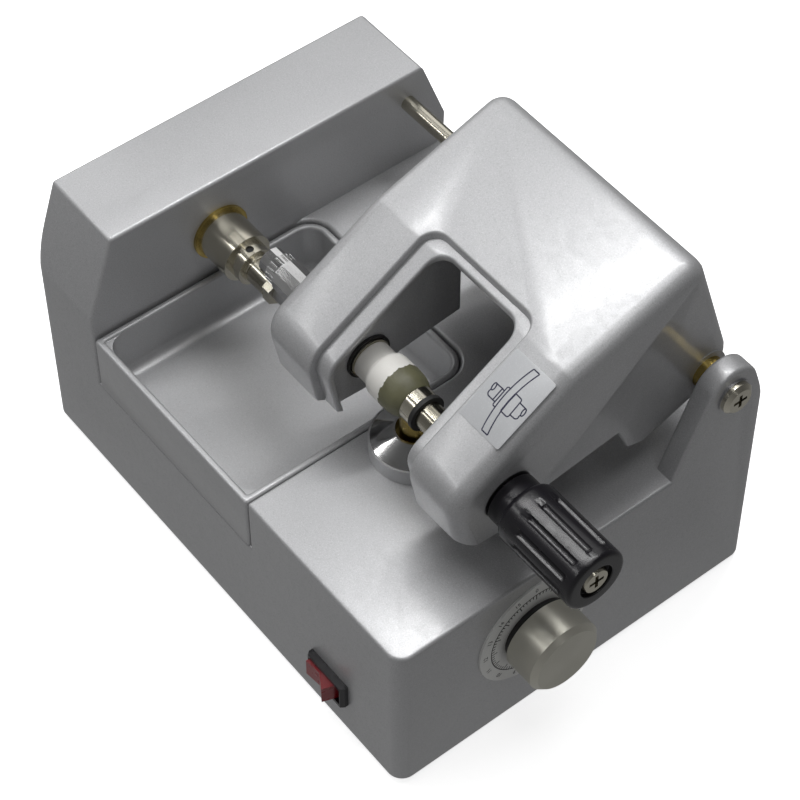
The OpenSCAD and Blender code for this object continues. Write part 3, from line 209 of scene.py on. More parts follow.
def turned_metal(name, color, dark, rough, axis="x", lines=1500.0, grime=0.5, metallic=1.0, marked=0.008,
                 grooves=0.6):
    """Metal with fine turning marks round an axis, a little random stain, and painted shade in its creases."""
    n = Nodes(name)
    along = tuple(lines if axis == letter else 1.0 for letter in "xyz")
    marks = n.noise(scale=1.0, detail=4, rough=0.7, vector=n.stretched(along))
    stain = n.noise(scale=90, detail=4, rough=0.6)
    base = n.mix(n.span(stain, low=0, high=grime, start=0.45, end=0.75), color, dark)
    base = n.mix(n.span(marks, low=0, high=0.06), base, shade(color, 0.72))
    # Painted shade: creases and hollows are darkened towards black
    creases = n.span(n.pointiness(), low=0.7, high=0.0, start=0.42, end=0.5)
    base = n.mix(creases, base, shade(dark, 0.35))
    # The grooves run round the axis, and a quarter turn draws the highlights out along it
    return n.set(Base_Color=base, Metallic=metallic, Roughness=n.span(marks, rough - 0.01, rough + 0.02),
                 Normal=n.bump(marks, strength=marked, distance=0.00003), Tangent=n.radial_tangent(axis),
                 Anisotropic=grooves, Anisotropic_Rotation=0.25)


def plastic(name, color, rough, uneven, bump, coat=0.0):
    """Moulded or printed surface: slightly uneven colour with fine pale specks, and a fine texture."""
    n = Nodes(name)
    clouds = n.noise(scale=60, detail=4, rough=0.6)
    specks = n.noise(scale=1800, detail=2, rough=0.6)
    patches = n.noise(scale=240, detail=3)
    texture = n.noise(scale=900, detail=3, rough=0.6)
    base = n.mix(n.span(clouds, 0, 1), color, shade(color, 1 - uneven))
    base = n.mix(n.span(specks, low=0, high=0.25, start=0.55, end=0.75), base, shade(color, 1.5, lift=0.01))
    return n.set(Base_Color=base, Roughness=n.span(patches, rough - 0.02, rough + 0.03),
                 Normal=n.bump(texture, strength=bump, distance=0.00008),
                 Specular_IOR_Level=0.5, Coat_Weight=coat, Coat_Roughness=0.12)


def rubber(name, color, rough, bump):
    """Dull rubber with a coarse grain."""
    n = Nodes(name)
    clouds = n.noise(scale=120, detail=4)
    grain = n.noise(scale=1400, detail=4, rough=0.65)
    base = n.mix(n.span(clouds, 0, 1), color, shade(color, 0.7))
    return n.set(Base_Color=base, Roughness=n.span(grain, rough - 0.1, rough + 0.12),
                 Normal=n.bump(grain, strength=bump, distance=0.00012))


PAINT = {"light": (0.475, 0.478, 0.487), "dark": (0.450, 0.452, 0.462)}
TRAY_PAINT = {"light": (0.50, 0.503, 0.512), "dark": (0.475, 0.478, 0.487), "grain": 0.6, "rough": 0.40}
LOOKS = {
    "casting": (silver_paint, PAINT),
    "tray_paint": (silver_paint, TRAY_PAINT),
    "nickel": (turned_metal, {"color": (0.60, 0.57, 0.48), "dark": (0.40, 0.37, 0.28), "rough": 0.20,
                              "grime": 0.25}),
    "steel": (turned_metal, {"color": (0.46, 0.46, 0.47), "dark": (0.36, 0.36, 0.36), "rough": 0.30,
                             "grime": 0.3, "grooves": 0.0}),
    "brass": (turned_metal, {"color": (0.50, 0.38, 0.12), "dark": (0.20, 0.14, 0.05), "rough": 0.24,
                             "grime": 0.8}),
    "chrome": (turned_metal, {"color": (0.66, 0.66, 0.66), "dark": (0.44, 0.43, 0.41), "rough": 0.12,
                              "axis": "z", "lines": 900.0, "grime": 0.4, "grooves": 0.4}),
    "alu": (turned_metal, {"color": (0.62, 0.605, 0.53), "dark": (0.53, 0.51, 0.43), "rough": 0.38,
                           "lines": 2200.0, "grime": 0.30, "metallic": 0.7, "marked": 0.03, "grooves": 0.4}),
    "dark_metal": (plastic, {"color": (0.06, 0.06, 0.064), "rough": 0.5, "uneven": 0.3, "bump": 0.3}),
    "black_steel": (plastic, {"color": (0.02, 0.02, 0.021), "rough": 0.35, "uneven": 0.2, "bump": 0.1}),
    "scale_plate": (plastic, {"color": (0.86, 0.86, 0.84), "rough": 0.45, "uneven": 0.1, "bump": 0.1}),
    "white_plastic": (plastic, {"color": (0.88, 0.865, 0.82), "rough": 0.42, "uneven": 0.10, "bump": 0.10}),
    "black_gloss": (plastic, {"color": (0.009, 0.008, 0.011), "rough": 0.25, "uneven": 0.2, "bump": 0.02}),
    "black_matte": (plastic, {"color": (0.018, 0.018, 0.019), "rough": 0.42, "uneven": 0.2, "bump": 0.12}),
    "red_gloss": (plastic, {"color": (0.30, 0.008, 0.014), "rough": 0.28, "uneven": 0.2, "bump": 0.04,
                            "coat": 0.2}),
    "board_green": (plastic, {"color": (0.02, 0.12, 0.05), "rough": 0.4, "uneven": 0.3, "bump": 0.2}),
    "picture_plate": (plastic, {"color": (0.53, 0.54, 0.555), "rough": 0.34, "uneven": 0.06, "bump": 0.05}),
    "ink_blue": (plastic, {"color": (0.010, 0.010, 0.045), "rough": 0.4, "uneven": 0.1, "bump": 0.02}),
    "ink_black": (plastic, {"color": (0.008, 0.008, 0.009), "rough": 0.45, "uneven": 0.1, "bump": 0.02}),
    "olive_rubber": (rubber, {"color": (0.155, 0.152, 0.085), "rough": 0.45, "bump": 0.4}),
    "black_rubber": (rubber, {"color": (0.018, 0.018, 0.018), "rough": 0.6, "bump": 0.2}),
}
MATERIALS = {name: make(name, **look) for name, (make, look) in LOOKS.items()}


# Tools for shapes

# Edges sharper than this many degrees stay sharp in a smooth surface
SMOOTH_ANGLE = 35
# Points nearer than this are one, in metres, and faces that meet at less than this angle are one
SAME_POINT, SAME_FACE = 2e-6, math.radians(0.6)


def paint(obj, look):
    obj.data.materials.clear()
    obj.data.materials.append(MATERIALS[look])


def add_object(name, data):
    obj = bpy.data.objects.new(name, data)
    bpy.context.scene.collection.objects.link(obj)
    return obj


def smooth(obj, angle):
    """Smooth shading that keeps edges sharper than the angle, by marking them in the mesh."""
    bm = bmesh.new()
    bm.from_mesh(obj.data)
    limit = math.radians(angle)
    for e in bm.edges:
        e.smooth = not (len(e.link_faces) == 2 and e.calc_face_angle(0) > limit)
    for f in bm.faces:
        f.smooth = True
    bm.to_mesh(obj.data)
    bm.free()


def finish_piece(name, bm, slot, body, angle=SMOOTH_ANGLE, ink=None):
    """Makes a piece of a mesh that is done. It has its slot's look, unless it is printed in an ink."""
    mesh = bpy.data.meshes.new(name)
    bm.normal_update()
    bm.to_mesh(mesh)
    bm.free()
    obj = add_object(name, mesh)
    paint(obj, ink or slot)
    smooth(obj, angle)
    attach(obj, body)
    return obj


def bridge(bm, a, b):
    """Faces from each point of ring a to the same point of ring b. A ring may be a single point."""
    count = max(len(a), len(b))
    for k in range(count):
        j = (k + 1) % count
        if len(a) == 1:
            bm.faces.new((a[0], b[j], b[k]))
        elif len(b) == 1:
            bm.faces.new((a[k], a[j], b[0]))
        else:
            bm.faces.new((a[k], a[j], b[j], b[k]))


def lathe(name, start, profile, slot, body, steps=64, shape=None, drift=None):
    """Turns a profile of (along, radius) from x = start round the lens axis. A radius of 0 closes an end.
    shape(turn, along, radius) may change the radius round the turn, and drift(turn, along) the place."""
    bm = bmesh.new()
    rings = []
    for along, radius in profile:
        if radius == 0:
            rings.append([bm.verts.new(at(start + along, LENS.y, LENS.z))])
            continue
        ring = []
        for k in range(steps):
            turn = 2 * math.pi * k / steps
            r = shape(turn, along, radius) if shape else radius
            x = start + along + (drift(turn, along) if drift else 0)
            ring.append(bm.verts.new(at(x, LENS.y + r * math.cos(turn), LENS.z + r * math.sin(turn))))
        rings.append(ring)
    for a, b in zip(rings, rings[1:]):
        bridge(bm, a, b)
    bmesh.ops.recalc_face_normals(bm, faces=bm.faces)
    return finish_piece(name, bm, slot, body)


def rounded(points, radius=0.5, steps=4):
    """Rounds the inner corners of an open profile of (along, radius). A third number is a corner's own."""
    out = []
    last = len(points) - 1
    for i, p in enumerate(points):
        if i in (0, last):
            out.append(p[:2])
            continue
        own = p[2] if len(p) > 2 else radius
        a, b, c = (Vector(q[:2]) for q in (points[i - 1], p, points[i + 1]))
        # Just under half of each side, so that two rounds on one side stay apart
        reach = min(own, (a - b).length * 0.49, (c - b).length * 0.49)
        start, end = b + (a - b).normalized() * reach, b + (c - b).normalized() * reach
        out += curve(start, b, end, steps)
    return out


def curve(start, pull, end, steps):
    """Points on the curve from start to end that is drawn towards pull."""
    shares = [k / steps for k in range(steps + 1)]
    return [tuple(start * (1 - t) ** 2 + pull * 2 * t * (1 - t) + end * t ** 2) for t in shares]


def copy_of(node, name, width, segments, test, angle=SMOOTH_ANGLE):
    """A copy of a CAD node with its flat faces joined up again, and the edges that pass the test rounded."""
    bm = bmesh.new()
    bm.from_mesh(frame["nodes"][node].data)
    bmesh.ops.remove_doubles(bm, verts=bm.verts, dist=SAME_POINT)
    bmesh.ops.dissolve_limit(bm, angle_limit=SAME_FACE, verts=bm.verts, edges=bm.edges)
    bm.normal_update()
    chosen = [e for e in bm.edges if len(e.link_faces) == 2 and test(e)]
    bmesh.ops.bevel(bm, geom=chosen, offset=width * MM, offset_type="OFFSET", segments=segments,
                    profile=0.5, affect="EDGES", clamp_overlap=False, miter_outer="SHARP")
    piece = finish_piece(name, bm, SLOTS[node], BODY_OF[node], angle)
    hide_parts(node)


def side_gap(point, axis):
    """Distance of a point from an axis along X."""
    return math.hypot(point.y - axis.y, point.z - axis.z)


def top_gap(point, axis):
    """Distance of a point from an upright axis."""
    return math.hypot(point.x - axis.x, point.y - axis.y)


def middle_of_edge(e):
    """The middle of a mesh edge, from the casing's corner in millimetres."""
    return (mm(e.verts[0].co) + mm(e.verts[1].co)) / 2


def placed(x, y, z, spot):
    """Matrix that puts an object at spot, with its own X, Y and Z along the given directions."""
    return Matrix(((x.x, y.x, z.x, spot.x), (x.y, y.y, z.y, spot.y), (x.z, y.z, z.z, spot.z), (0, 0, 0, 1)))


# Nodes that keep their shape

for node, part in frame["nodes"].items():
    paint(part, SLOTS[node])


# Casing

CASING_ROUND, CASING_STEPS = 1.6, 4
# Edges flatter than this are facets of a round, not creases
CASING_CREASE = 14
# Radii kept clear round the rest, the stop, the bores of the housing, the dial's bush and the ear's bore
REST_CLEAR, STOP_CLEAR, HOUSE_CLEAR, DIAL_CLEAR, EAR_CLEAR = 20, 8, 19, 12, 6
# How far in the outline of the housing's right face reaches
HOUSE_RIM = 16
# The outer bands end at these places: at the front, at the back, at the top and at the right
FRONT_BAND, BACK_BAND, TOP_BAND, RIGHT_BAND = 14, BASE_D - 13.5, HOUSE_H - 0.5, BASE_L - 10.5
UNDERSIDE = 0.5
# The switch's hole in the front wall, and the power inlet's part of the back wall
FRONT_WALL, SWITCH_LEFT, SWITCH_RIGHT, SWITCH_TOP = 5, 190, 220, 40
BACK_WALL, INLET_LEFT, INLET_TOP = BASE_D - 5, 150, 60


def casing_edge(e):
    """Creases round the deck and in the outer bands of the casing, clear of its bores and cut-outs."""
    if not e.is_convex or e.calc_face_angle(0) < math.radians(CASING_CREASE):
        return False
    m = middle_of_edge(e)
    if all(abs(mm(v.co).z - DECK) < NEAR for v in e.verts):
        return top_gap(m, REST) > REST_CLEAR and top_gap(m, STOP) > STOP_CLEAR
    if m.z < UNDERSIDE:
        return False
    if abs(m.x - HOUSE_W) < NEAR and m.z > DECK + 1:
        rim = min(m.y, BASE_D - m.y, HOUSE_H - m.z)
        return rim < HOUSE_RIM and min(side_gap(m, SPINDLE), side_gap(m, PIVOT)) > HOUSE_CLEAR
    outer = m.y < FRONT_BAND or m.y > BACK_BAND or m.z > TOP_BAND
    if m.x < NEAR:
        return outer
    at_dial = abs(m.x - BASE_L) < NEAR and side_gap(m, DIAL) < DIAL_CLEAR
    at_ear = m.x > RIGHT_BAND and side_gap(m, PIVOT) < EAR_CLEAR
    at_switch = m.y < FRONT_WALL and SWITCH_LEFT < m.x < SWITCH_RIGHT and m.z < SWITCH_TOP
    at_inlet = m.y > BACK_WALL and m.x > INLET_LEFT and m.z < INLET_TOP
    if at_dial or at_ear or at_switch or at_inlet:
        return False
    return outer or m.x > RIGHT_BAND


copy_of("base_casing", "casing", CASING_ROUND, CASING_STEPS, casing_edge)


# Chip tray

TRAY_WALL, TRAY_FLOOR, TRAY_FILLET = 3.2, 3.0, 5.0
# Round of the rim, and the small round of the foot with its middle point
RIM_ROUND, FOOT_ROUND, FOOT_MIDDLE = 1.3, 0.7, 0.2
# Corner radii: outside at the front and the back, and inside at the front
FRONT_R, BACK_R, INNER_FRONT_R = 1.5, 11.2, 8.0
RIM_STEPS, FILLET_STEPS = 5, 8
TRAY_SMOOTH = 40


def arc(cx, cy, r, start, end, steps):
    """Points of an arc from one angle to another, in degrees."""
    turns = [math.radians(start + (end - start) * k / steps) for k in range(steps + 1)]
    return [(cx + r * math.cos(a), cy + r * math.sin(a)) for a in turns]


def ring_rect(x1, x2, y1, y2, radii, steps=10):
    """Rectangle with its own radius at each corner: front left, front right, back right, back left."""
    corners = ((x1, y1, 1, 1, 180), (x2, y1, -1, 1, 270), (x2, y2, -1, -1, 0), (x1, y2, 1, -1, 90))
    out = []
    for (x, y, sx, sy, start), r in zip(corners, radii):
        out += arc(x + sx * r, y + sy * r, r, start, start + 90, steps)
    return out


def quarter(steps):
    """Angles over a quarter turn."""
    return [math.pi / 2 * k / steps for k in range(steps + 1)]


def tray_section(low, top):
    """(inset, height) from the foot up the outside, over the rim and down the inside to the floor."""
    crown, inner_edge = top - RIM_ROUND, TRAY_WALL - RIM_ROUND
    section = [(FOOT_ROUND, low), (FOOT_MIDDLE, low + FOOT_MIDDLE), (0.0, low + FOOT_ROUND)]
    for a in quarter(RIM_STEPS):
        section.append((RIM_ROUND * (1 - math.cos(a)), crown + RIM_ROUND * math.sin(a)))
    for a in quarter(RIM_STEPS):
        section.append((inner_edge + RIM_ROUND * math.sin(a), crown + RIM_ROUND * math.cos(a)))
    for a in quarter(FILLET_STEPS):
        section.append((TRAY_WALL + TRAY_FILLET * (1 - math.cos(a)),
                        low + TRAY_FLOOR + TRAY_FILLET * (1 - math.sin(a))))
    return section


def make_tray():
    """Deep pan with small corners at the front, larger ones at the back and a round fillet inside."""
    low, high = box_of("chip_tray")
    bm = bmesh.new()
    rings = []
    for inset, z in tray_section(low.z, high.z):
        inside = inset > TRAY_WALL - SAME_SIZE
        front = INNER_FRONT_R + TRAY_WALL - inset if inside else FRONT_R
        back = BACK_R - inset
        outline = ring_rect(low.x + inset, high.x - inset, low.y + inset, high.y - inset,
                            (front, front, back, back))
        rings.append([bm.verts.new(at(x, y, z)) for x, y in outline])
    for a, b in zip(rings, rings[1:]):
        bridge(bm, a, b)
    bm.faces.new(rings[0])
    bm.faces.new(list(reversed(rings[-1])))
    bmesh.ops.remove_doubles(bm, verts=bm.verts, dist=SAME_POINT)
    bmesh.ops.recalc_face_normals(bm, faces=bm.faces)
    return finish_piece("tray_pan", bm, "tray_paint", "tray", TRAY_SMOOTH)


tray = make_tray()
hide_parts("chip_tray")


# Head

HEAD_ROUND, HEAD_STEPS = 0.9, 3
# Edges flatter than this aren't cut edges, and this radius is kept clear round the bores
HEAD_CREASE, HEAD_CLEAR = 48, 17
HEAD_SMOOTH = 32


def head_edge(e):
    """Cut edges of the head: those of the slot, its recess and the open underside, not of the bores."""
    if not e.is_convex or e.calc_face_angle(0) < math.radians(HEAD_CREASE):
        return False
    m = middle_of_edge(e)
    return min(side_gap(m, LENS), side_gap(m, PIVOT)) > HEAD_CLEAR


copy_of("head_shell", "head_casting", HEAD_ROUND, HEAD_STEPS, head_edge, HEAD_SMOOTH)


# Black knob

KNOB_R, HUB_R, HUB_L, KNOB_L = 14.0, 11.5, 7.4, 49.8
KNOB_SHOULDER, KNOB_NOSE, NOSE_ROUND = 17.8, 45.8, 4.0
SCREW_R, SCREW_DEPTH = 7.8, 2.4
FLUTES, FLUTE_FROM, FLUTE_TO = 12, 19.3, 43.3
# Half width and depth of a flute, and the length of its round ends
FLUTE_HALF, FLUTE_DEPTH, FLUTE_END = 1.5, 1.25, 1.6
# Rings this far apart carry the flutes
FLUTE_RING, FLUTE_RINGS = 0.45, 61


def fluted(turn, along, radius):
    """Flutes of the black knob, with rounded ends. The hub and the end have none."""
    if radius < HUB_R + 0.5 or not FLUTE_FROM - FLUTE_END < along < FLUTE_TO + FLUTE_END:
        return radius
    lead = min(1.0, (along - FLUTE_FROM) / FLUTE_END + 1, (FLUTE_TO - along) / FLUTE_END + 1)
    fade = math.sqrt(max(0.0, 1 - (1 - lead) ** 2))
    pitch = 2 * math.pi / FLUTES
    off = abs((turn + pitch / 2) % pitch - pitch / 2) * radius
    across = max(0.0, 1 - (off / FLUTE_HALF) ** 2)
    return radius - FLUTE_DEPTH * fade * math.sqrt(across)


def make_knob():
    """Hub, grip with a ring at each step of the flutes, and a round nose with the screw's recess."""
    hub = [(0, 0), (0, HUB_R), (HUB_L, HUB_R, 0.3), (HUB_L + 0.6, HUB_R + 1.5, 0.6), (HUB_L + 2, KNOB_R, 1.2),
           (KNOB_SHOULDER - 4, KNOB_R), (KNOB_SHOULDER, KNOB_R)]
    grip = [(KNOB_SHOULDER + FLUTE_RING * k, KNOB_R) for k in range(1, FLUTE_RINGS + 1)]
    recess = KNOB_L - SCREW_DEPTH
    nose = [(KNOB_NOSE, KNOB_R), (KNOB_L, KNOB_R, NOSE_ROUND), (KNOB_L, SCREW_R + 1.2),
            (KNOB_L, SCREW_R, 0.5), (recess, SCREW_R, 0.3), (recess, 0)]
    profile = rounded(hub, radius=0.6) + grip + rounded(nose, radius=0.4, steps=6)[1:]
    start = box_of("clamp_knob")[0].x
    return lathe("clamp_handle", start, profile, "black_gloss", "clamp", steps=216, shape=fluted)


knob = make_knob()
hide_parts("clamp_knob")


# White chuck and rubber pad

# The flat faces of the chuck and the pad lie this far inside those of their solids
SKIN = 0.05
CHUCK_R, CHUCK_NECK_R, CHUCK_BORE_R = 10.3, 8.6, 4.2
# Where the chuck's neck ends, its cone ends and its full width starts, and its whole length
CHUCK_NECK_L, CHUCK_CONE_L, CHUCK_FULL_L, CHUCK_L = 7.65, 9.45, 11.25, 18.6


def make_chuck():
    """Neck, cone and full width, from the arm to the pad."""
    profile = rounded([
        (0, CHUCK_BORE_R), (0, CHUCK_NECK_R, 0.7), (CHUCK_NECK_L, CHUCK_NECK_R, 0.5),
        (CHUCK_CONE_L, CHUCK_R - 0.3, 1.0), (CHUCK_FULL_L, CHUCK_R, 1.0), (CHUCK_L, CHUCK_R, 0.5),
        (CHUCK_L, 0)])
    return lathe("chuck_white", box_of("lens_chuck")[0].x + SKIN, profile, "white_plastic", "pattern")


chuck = make_chuck()
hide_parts("lens_chuck")

# Waves round the pad's rim: how many go round, how high each is, and where it starts
SKIN_WAVES = ((37, 0.03, 0), (61, 0.03, 1))
TEAR_WAVES = ((11, 0.28, 0), (23, 0.20, 1), (47, 0.16, 2), (83, 0.10, 0))
# Over these lengths from these places the waves die away
SKIN_FROM, SKIN_REACH = -0.65, 2.6
TEAR_FROM, TEAR_REACH = -0.95, 0.8
PAD_L = 9.75


def waves(table, turn):
    """Sum of the table's waves at one place round the rim."""
    return sum(high * math.sin(count * turn + shift) for count, high, shift in table)


def frayed(turn, along, radius):
    """The pad's skin is uneven, most of all at its rim over the chuck."""
    return radius + max(0.0, 1 - (along - SKIN_FROM) / SKIN_REACH) * waves(SKIN_WAVES, turn)


def torn(turn, along):
    """The rim over the chuck is torn, not cut straight."""
    return max(0.0, 1 - (along - TEAR_FROM) / TEAR_REACH) * waves(TEAR_WAVES, turn)


def make_pad():
    """From the face on the chuck out under the rim, back over it and along the crowned side to the shaft."""
    rim = [(0, 0), (0, 9.4), (-0.25, 9.9), (-0.90, 10.31), (-0.85, 10.42), (-0.25, 10.44)]
    crown = [(0.75, 10.40), (2.35, 10.32), (3.95, 10.2), (5.55, 9.9), (6.95, 9.4), (8.15, 8.9), (9.15, 8.4)]
    end = [(PAD_L - 0.1, 8.0), (PAD_L, 7.6), (PAD_L, 0)]
    return lathe("pad_olive", box_of("lens_pad")[0].x + SKIN, rim + crown + end, "olive_rubber", "clamp",
                 steps=192, shape=frayed, drift=torn)


pad = make_pad()
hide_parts("lens_pad")


# Picture plate on the right arm

# The arm's slope in a side view (y, z), from the nose up to the crease
SLOPE_LOW, SLOPE_HIGH = Vector((37.21, 137.90)), Vector((94.61, 172.34))
# The share of the slope that lies below the plate's middle
MIDDLE_SHARE = 0.672
SLOPE = (SLOPE_HIGH - SLOPE_LOW).normalized()
SLOPE_OUT = Vector((-SLOPE.y, SLOPE.x))
PLATE_MIDDLE = SLOPE_LOW + MIDDLE_SHARE * (SLOPE_HIGH - SLOPE_LOW)
PLATE_W, PLATE_H, PLATE_T, PLATE_CORNER_R, PLATE_SOFT = 23.2, 32.9, 0.3, 1.0, 0.12
PLATE_LEFT = box_of("diagram_plate")[0].x
# Width and thickness of the printed lines and of the heavy one, and their height over the plate's seat
LINE_W, INK_T, HEAVY_W, HEAVY_T, INK_LIFT = 0.55, 0.03, 0.8, 0.035, 0.29
# A line whose ends are nearer than this is closed
CLOSED_GAP = 1e-6


def on_slope(u, v, w):
    """u along X from the plate's left edge, v up the slope from its lower edge, w over the slope."""
    p = PLATE_MIDDLE + SLOPE * (v - PLATE_H / 2) + SLOPE_OUT * w
    return at(PLATE_LEFT + u, p.x, p.y)


def make_plate():
    """Thin plate with round corners, whose upper edge is softened in two steps."""
    outline = [Vector(p) for p in ring_rect(0, PLATE_W, 0, PLATE_H, [PLATE_CORNER_R] * 4, 5)]
    middle = sum(outline, Vector((0, 0))) / len(outline)
    bm = bmesh.new()
    rings = []
    for inset, height in ((0, 0), (0, PLATE_T - PLATE_SOFT), (PLATE_SOFT * 0.3, PLATE_T - PLATE_SOFT * 0.3),
                          (PLATE_SOFT, PLATE_T)):
        drawn_in = [p - (p - middle).normalized() * inset for p in outline]
        rings.append([bm.verts.new(on_slope(q.x, q.y, height)) for q in drawn_in])
    for a, b in zip(rings, rings[1:]):
        bridge(bm, a, b)
    bm.faces.new(list(reversed(rings[0])))
    bm.faces.new(rings[-1])
    bmesh.ops.recalc_face_normals(bm, faces=bm.faces)
    return finish_piece("picture_card", bm, "picture_plate", "head")


def strokes(name, lines, wide, thick, lift, place, ink, slot, body):
    """Printed lines: flat ribbons along each list of (u, v) points, just over the seat."""
    bm = bmesh.new()
    for line in lines:
        points = [Vector(p) for p in line]
        closed = (points[0] - points[-1]).length < CLOSED_GAP
        if closed:
            points.pop()
        n = len(points)
        rings = []
        for i, p in enumerate(points):
            before = points[i - 1] if closed or i else p
            after = points[(i + 1) % n] if closed or i < n - 1 else p
            along = (after - before).normalized()
            out = Vector((-along.y, along.x)) * wide / 2
            low, high = lift, lift + thick
            section = ((-out, low), (-out, high), (out, high), (out, low))
            rings.append([bm.verts.new(place(*(p + side), w)) for side, w in section])
        for a, b in zip(rings, rings[1:]):
            bridge(bm, a, b)
        if closed:
            bridge(bm, rings[-1], rings[0])
        else:
            bm.faces.new(rings[0])
            bm.faces.new(list(reversed(rings[-1])))
    bmesh.ops.recalc_face_normals(bm, faces=bm.faces)
    finish_piece(name, bm, slot, body, ink=ink)


def bowed(a, middle, b, steps=16):
    """Curve from a to b through middle."""
    a, middle, b = Vector(a), Vector(middle), Vector(b)
    return curve(a, middle * 2 - (a + b) / 2, b, steps)


def loop(cx, cy, rx=0.7, ry=1.6, lean=8, steps=20):
    """Slanting oval, as at the broken end of a drawn bar."""
    a = math.radians(lean)
    out = []
    for k in range(steps):
        t = 2 * math.pi * k / steps
        x, y = rx * math.cos(t), ry * math.sin(t)
        out.append((cx + x * math.cos(a) - y * math.sin(a), cy + x * math.sin(a) + y * math.cos(a)))
    return out + out[:1]


def lens_section():
    """The cut edge of a bowed lens, closed at both ends."""
    left = bowed((11.5, 31.4), (9.7, 16.2), (12.4, 1.4))
    right = bowed((14.8, 31.4), (12.8, 16.2), (15.8, 1.4))
    return [left, right, [left[0], right[0]], [left[-1], right[-1]]]


# The picture, across and up the plate: a lens between a cup with a pad and a clamp block, drawn in section
CUP = [
    [(12.9, 20.1), (15.8, 20.0), *arc(15.8, 19.1, 0.9, 90, 0, 4), *arc(16.1, 12.3, 0.9, 0, -90, 4),
     (13.1, 11.4)],
    [(12.9, 20.1), (12.8, 16), (13.1, 11.4)],
    [(16.7, 18.6), (20.6, 18.5)], loop(20.6, 16.9),
    [(16.9, 12.8), (19.0, 12.9), *arc(19.2, 14.1, 1.2, -90, 30, 6), (20.4, 15.4)],
]
BLOCK = [
    [(9.9, 20.0), (8.8, 20.0), (8.4, 19.6), (8.6, 11.4), (9.0, 11.0), (10.2, 11.0)],
    [(8.3, 17.8), (7.3, 18.0), (3.9, 17.9)], loop(3.9, 16.4),
    [(8.4, 12.4), (5.4, 12.4), *arc(5.0, 13.8, 1.4, -80, -190, 6), (3.7, 14.9)],
    [(7.2, 18.0), (7.3, 12.4)],
]
PAD_LINE = [(12.85, 20.0), (12.75, 16), (13.05, 11.5)]

plate = make_plate()
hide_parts("diagram_plate")
strokes("picture_lines", lens_section() + CUP + BLOCK, LINE_W, INK_T, INK_LIFT, on_slope, "ink_blue",
        "picture_plate", "head")
strokes("picture_heavy", [PAD_LINE], HEAVY_W, HEAVY_T, INK_LIFT, on_slope, "ink_blue",
        "picture_plate", "head")


# Dial scale

DIAL_FACE = box_of("dial_plate")[1].x
# Sixteen numbers, and five ticks from one number to the next
MARKS, TICKS_PER_MARK = 16, 5
SCALE_R, LONG_TICK, SHORT_TICK, TICK_W, TICK_LIFT = 22.4, 3.0, 1.6, 0.42, 0.01
SCALE_SIDES = 90
NUMBER_R, NUMBER_SIZE, NUMBER_LIFT, NUMBER_DEPTH = 25.2, 3.0, 0.03, 0.015


def on_dial(u, v, w):
    """u towards the back, v up, from the dial's axis, w out from the plate."""
    return at(DIAL_FACE + w, DIAL.y + u, DIAL.z + v)


def polar(r, turn):
    """The turn runs clockwise from straight up, as seen from the right."""
    return r * math.sin(turn), r * math.cos(turn)


def make_scale():
    """A fine ring, with a long tick at each number and short ones between."""
    lines = [[polar(SCALE_R, 2 * math.pi * k / SCALE_SIDES) for k in range(SCALE_SIDES + 1)]]
    count = MARKS * TICKS_PER_MARK
    for k in range(count):
        length = SHORT_TICK if k % TICKS_PER_MARK else LONG_TICK
        turn = 2 * math.pi * k / count
        lines.append([polar(SCALE_R, turn), polar(SCALE_R - length, turn)])
    strokes("dial_ticks", lines, TICK_W, INK_T, TICK_LIFT, on_dial, "ink_black", "scale_plate", "base")


def make_number(k):
    """Number k of the dial, its foot towards the middle."""
    text = bpy.data.curves.new("number_%d" % k, "FONT")
    text.body = str(k)
    text.size = NUMBER_SIZE * MM
    text.align_x, text.align_y = "CENTER", "CENTER"
    text.extrude = NUMBER_DEPTH * MM
    text.resolution_u = 3
    text.materials.append(MATERIALS["ink_black"])
    obj = add_object("number_%d" % k, text)
    turn = 2 * math.pi * k / MARKS
    across = Vector((0, math.cos(turn), -math.sin(turn)))
    upward = Vector((0, math.sin(turn), math.cos(turn)))
    spot = on_dial(*polar(NUMBER_R, turn), NUMBER_LIFT)
    obj.matrix_world = placed(across, upward, Vector((1, 0, 0)), spot)
    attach(obj, "base")


make_scale()
for k in range(MARKS):
    make_number(k)


# Softened edges of the nodes that keep their shape

REPLACED = {
    "base_casing", "chip_tray", "head_shell", "clamp_knob", "lens_chuck", "lens_pad", "diagram_plate"}
EDGE_WIDTH = {
    "rest_flange": 1.0, "rubber_feet": 0.6, "dial_knob": 0.5, "switch_body": 0.5, "switch_rocker": 0.5,
    "power_inlet": 0.5, "belt_cover": 0.4, "clamp_shaft": 0.4, "shaft_ring": 0.4, "dial_spacer": 0.4,
    "lock_ring": 0.35, "pivot_screw": 0.3, "pivot_shaft": 0.3, "collet": 0.3, "pattern_clamp": 0.18}
OTHER_WIDTH, EDGE_SEGMENTS, EDGE_ANGLE = 0.25, 3, 40


def soften(part, width):
    """Rounds a node's edges in its modifiers, which leave its mesh as it is."""
    bevel = part.modifiers.new("soft_edges", "BEVEL")
    bevel.width = width * MM
    bevel.segments = EDGE_SEGMENTS
    bevel.limit_method = "ANGLE"
    bevel.angle_limit = math.radians(EDGE_ANGLE)
    bevel.use_clamp_overlap = True
    bevel.harden_normals = False
    even = part.modifiers.new("even_shade", "WEIGHTED_NORMAL")
    even.keep_sharp = True


for node, part in frame["nodes"].items():
    if node not in REPLACED:
        soften(part, EDGE_WIDTH.get(node, OTHER_WIDTH))


# Floor

# From here on, sizes and places are in metres
FLOOR_HALF = 4


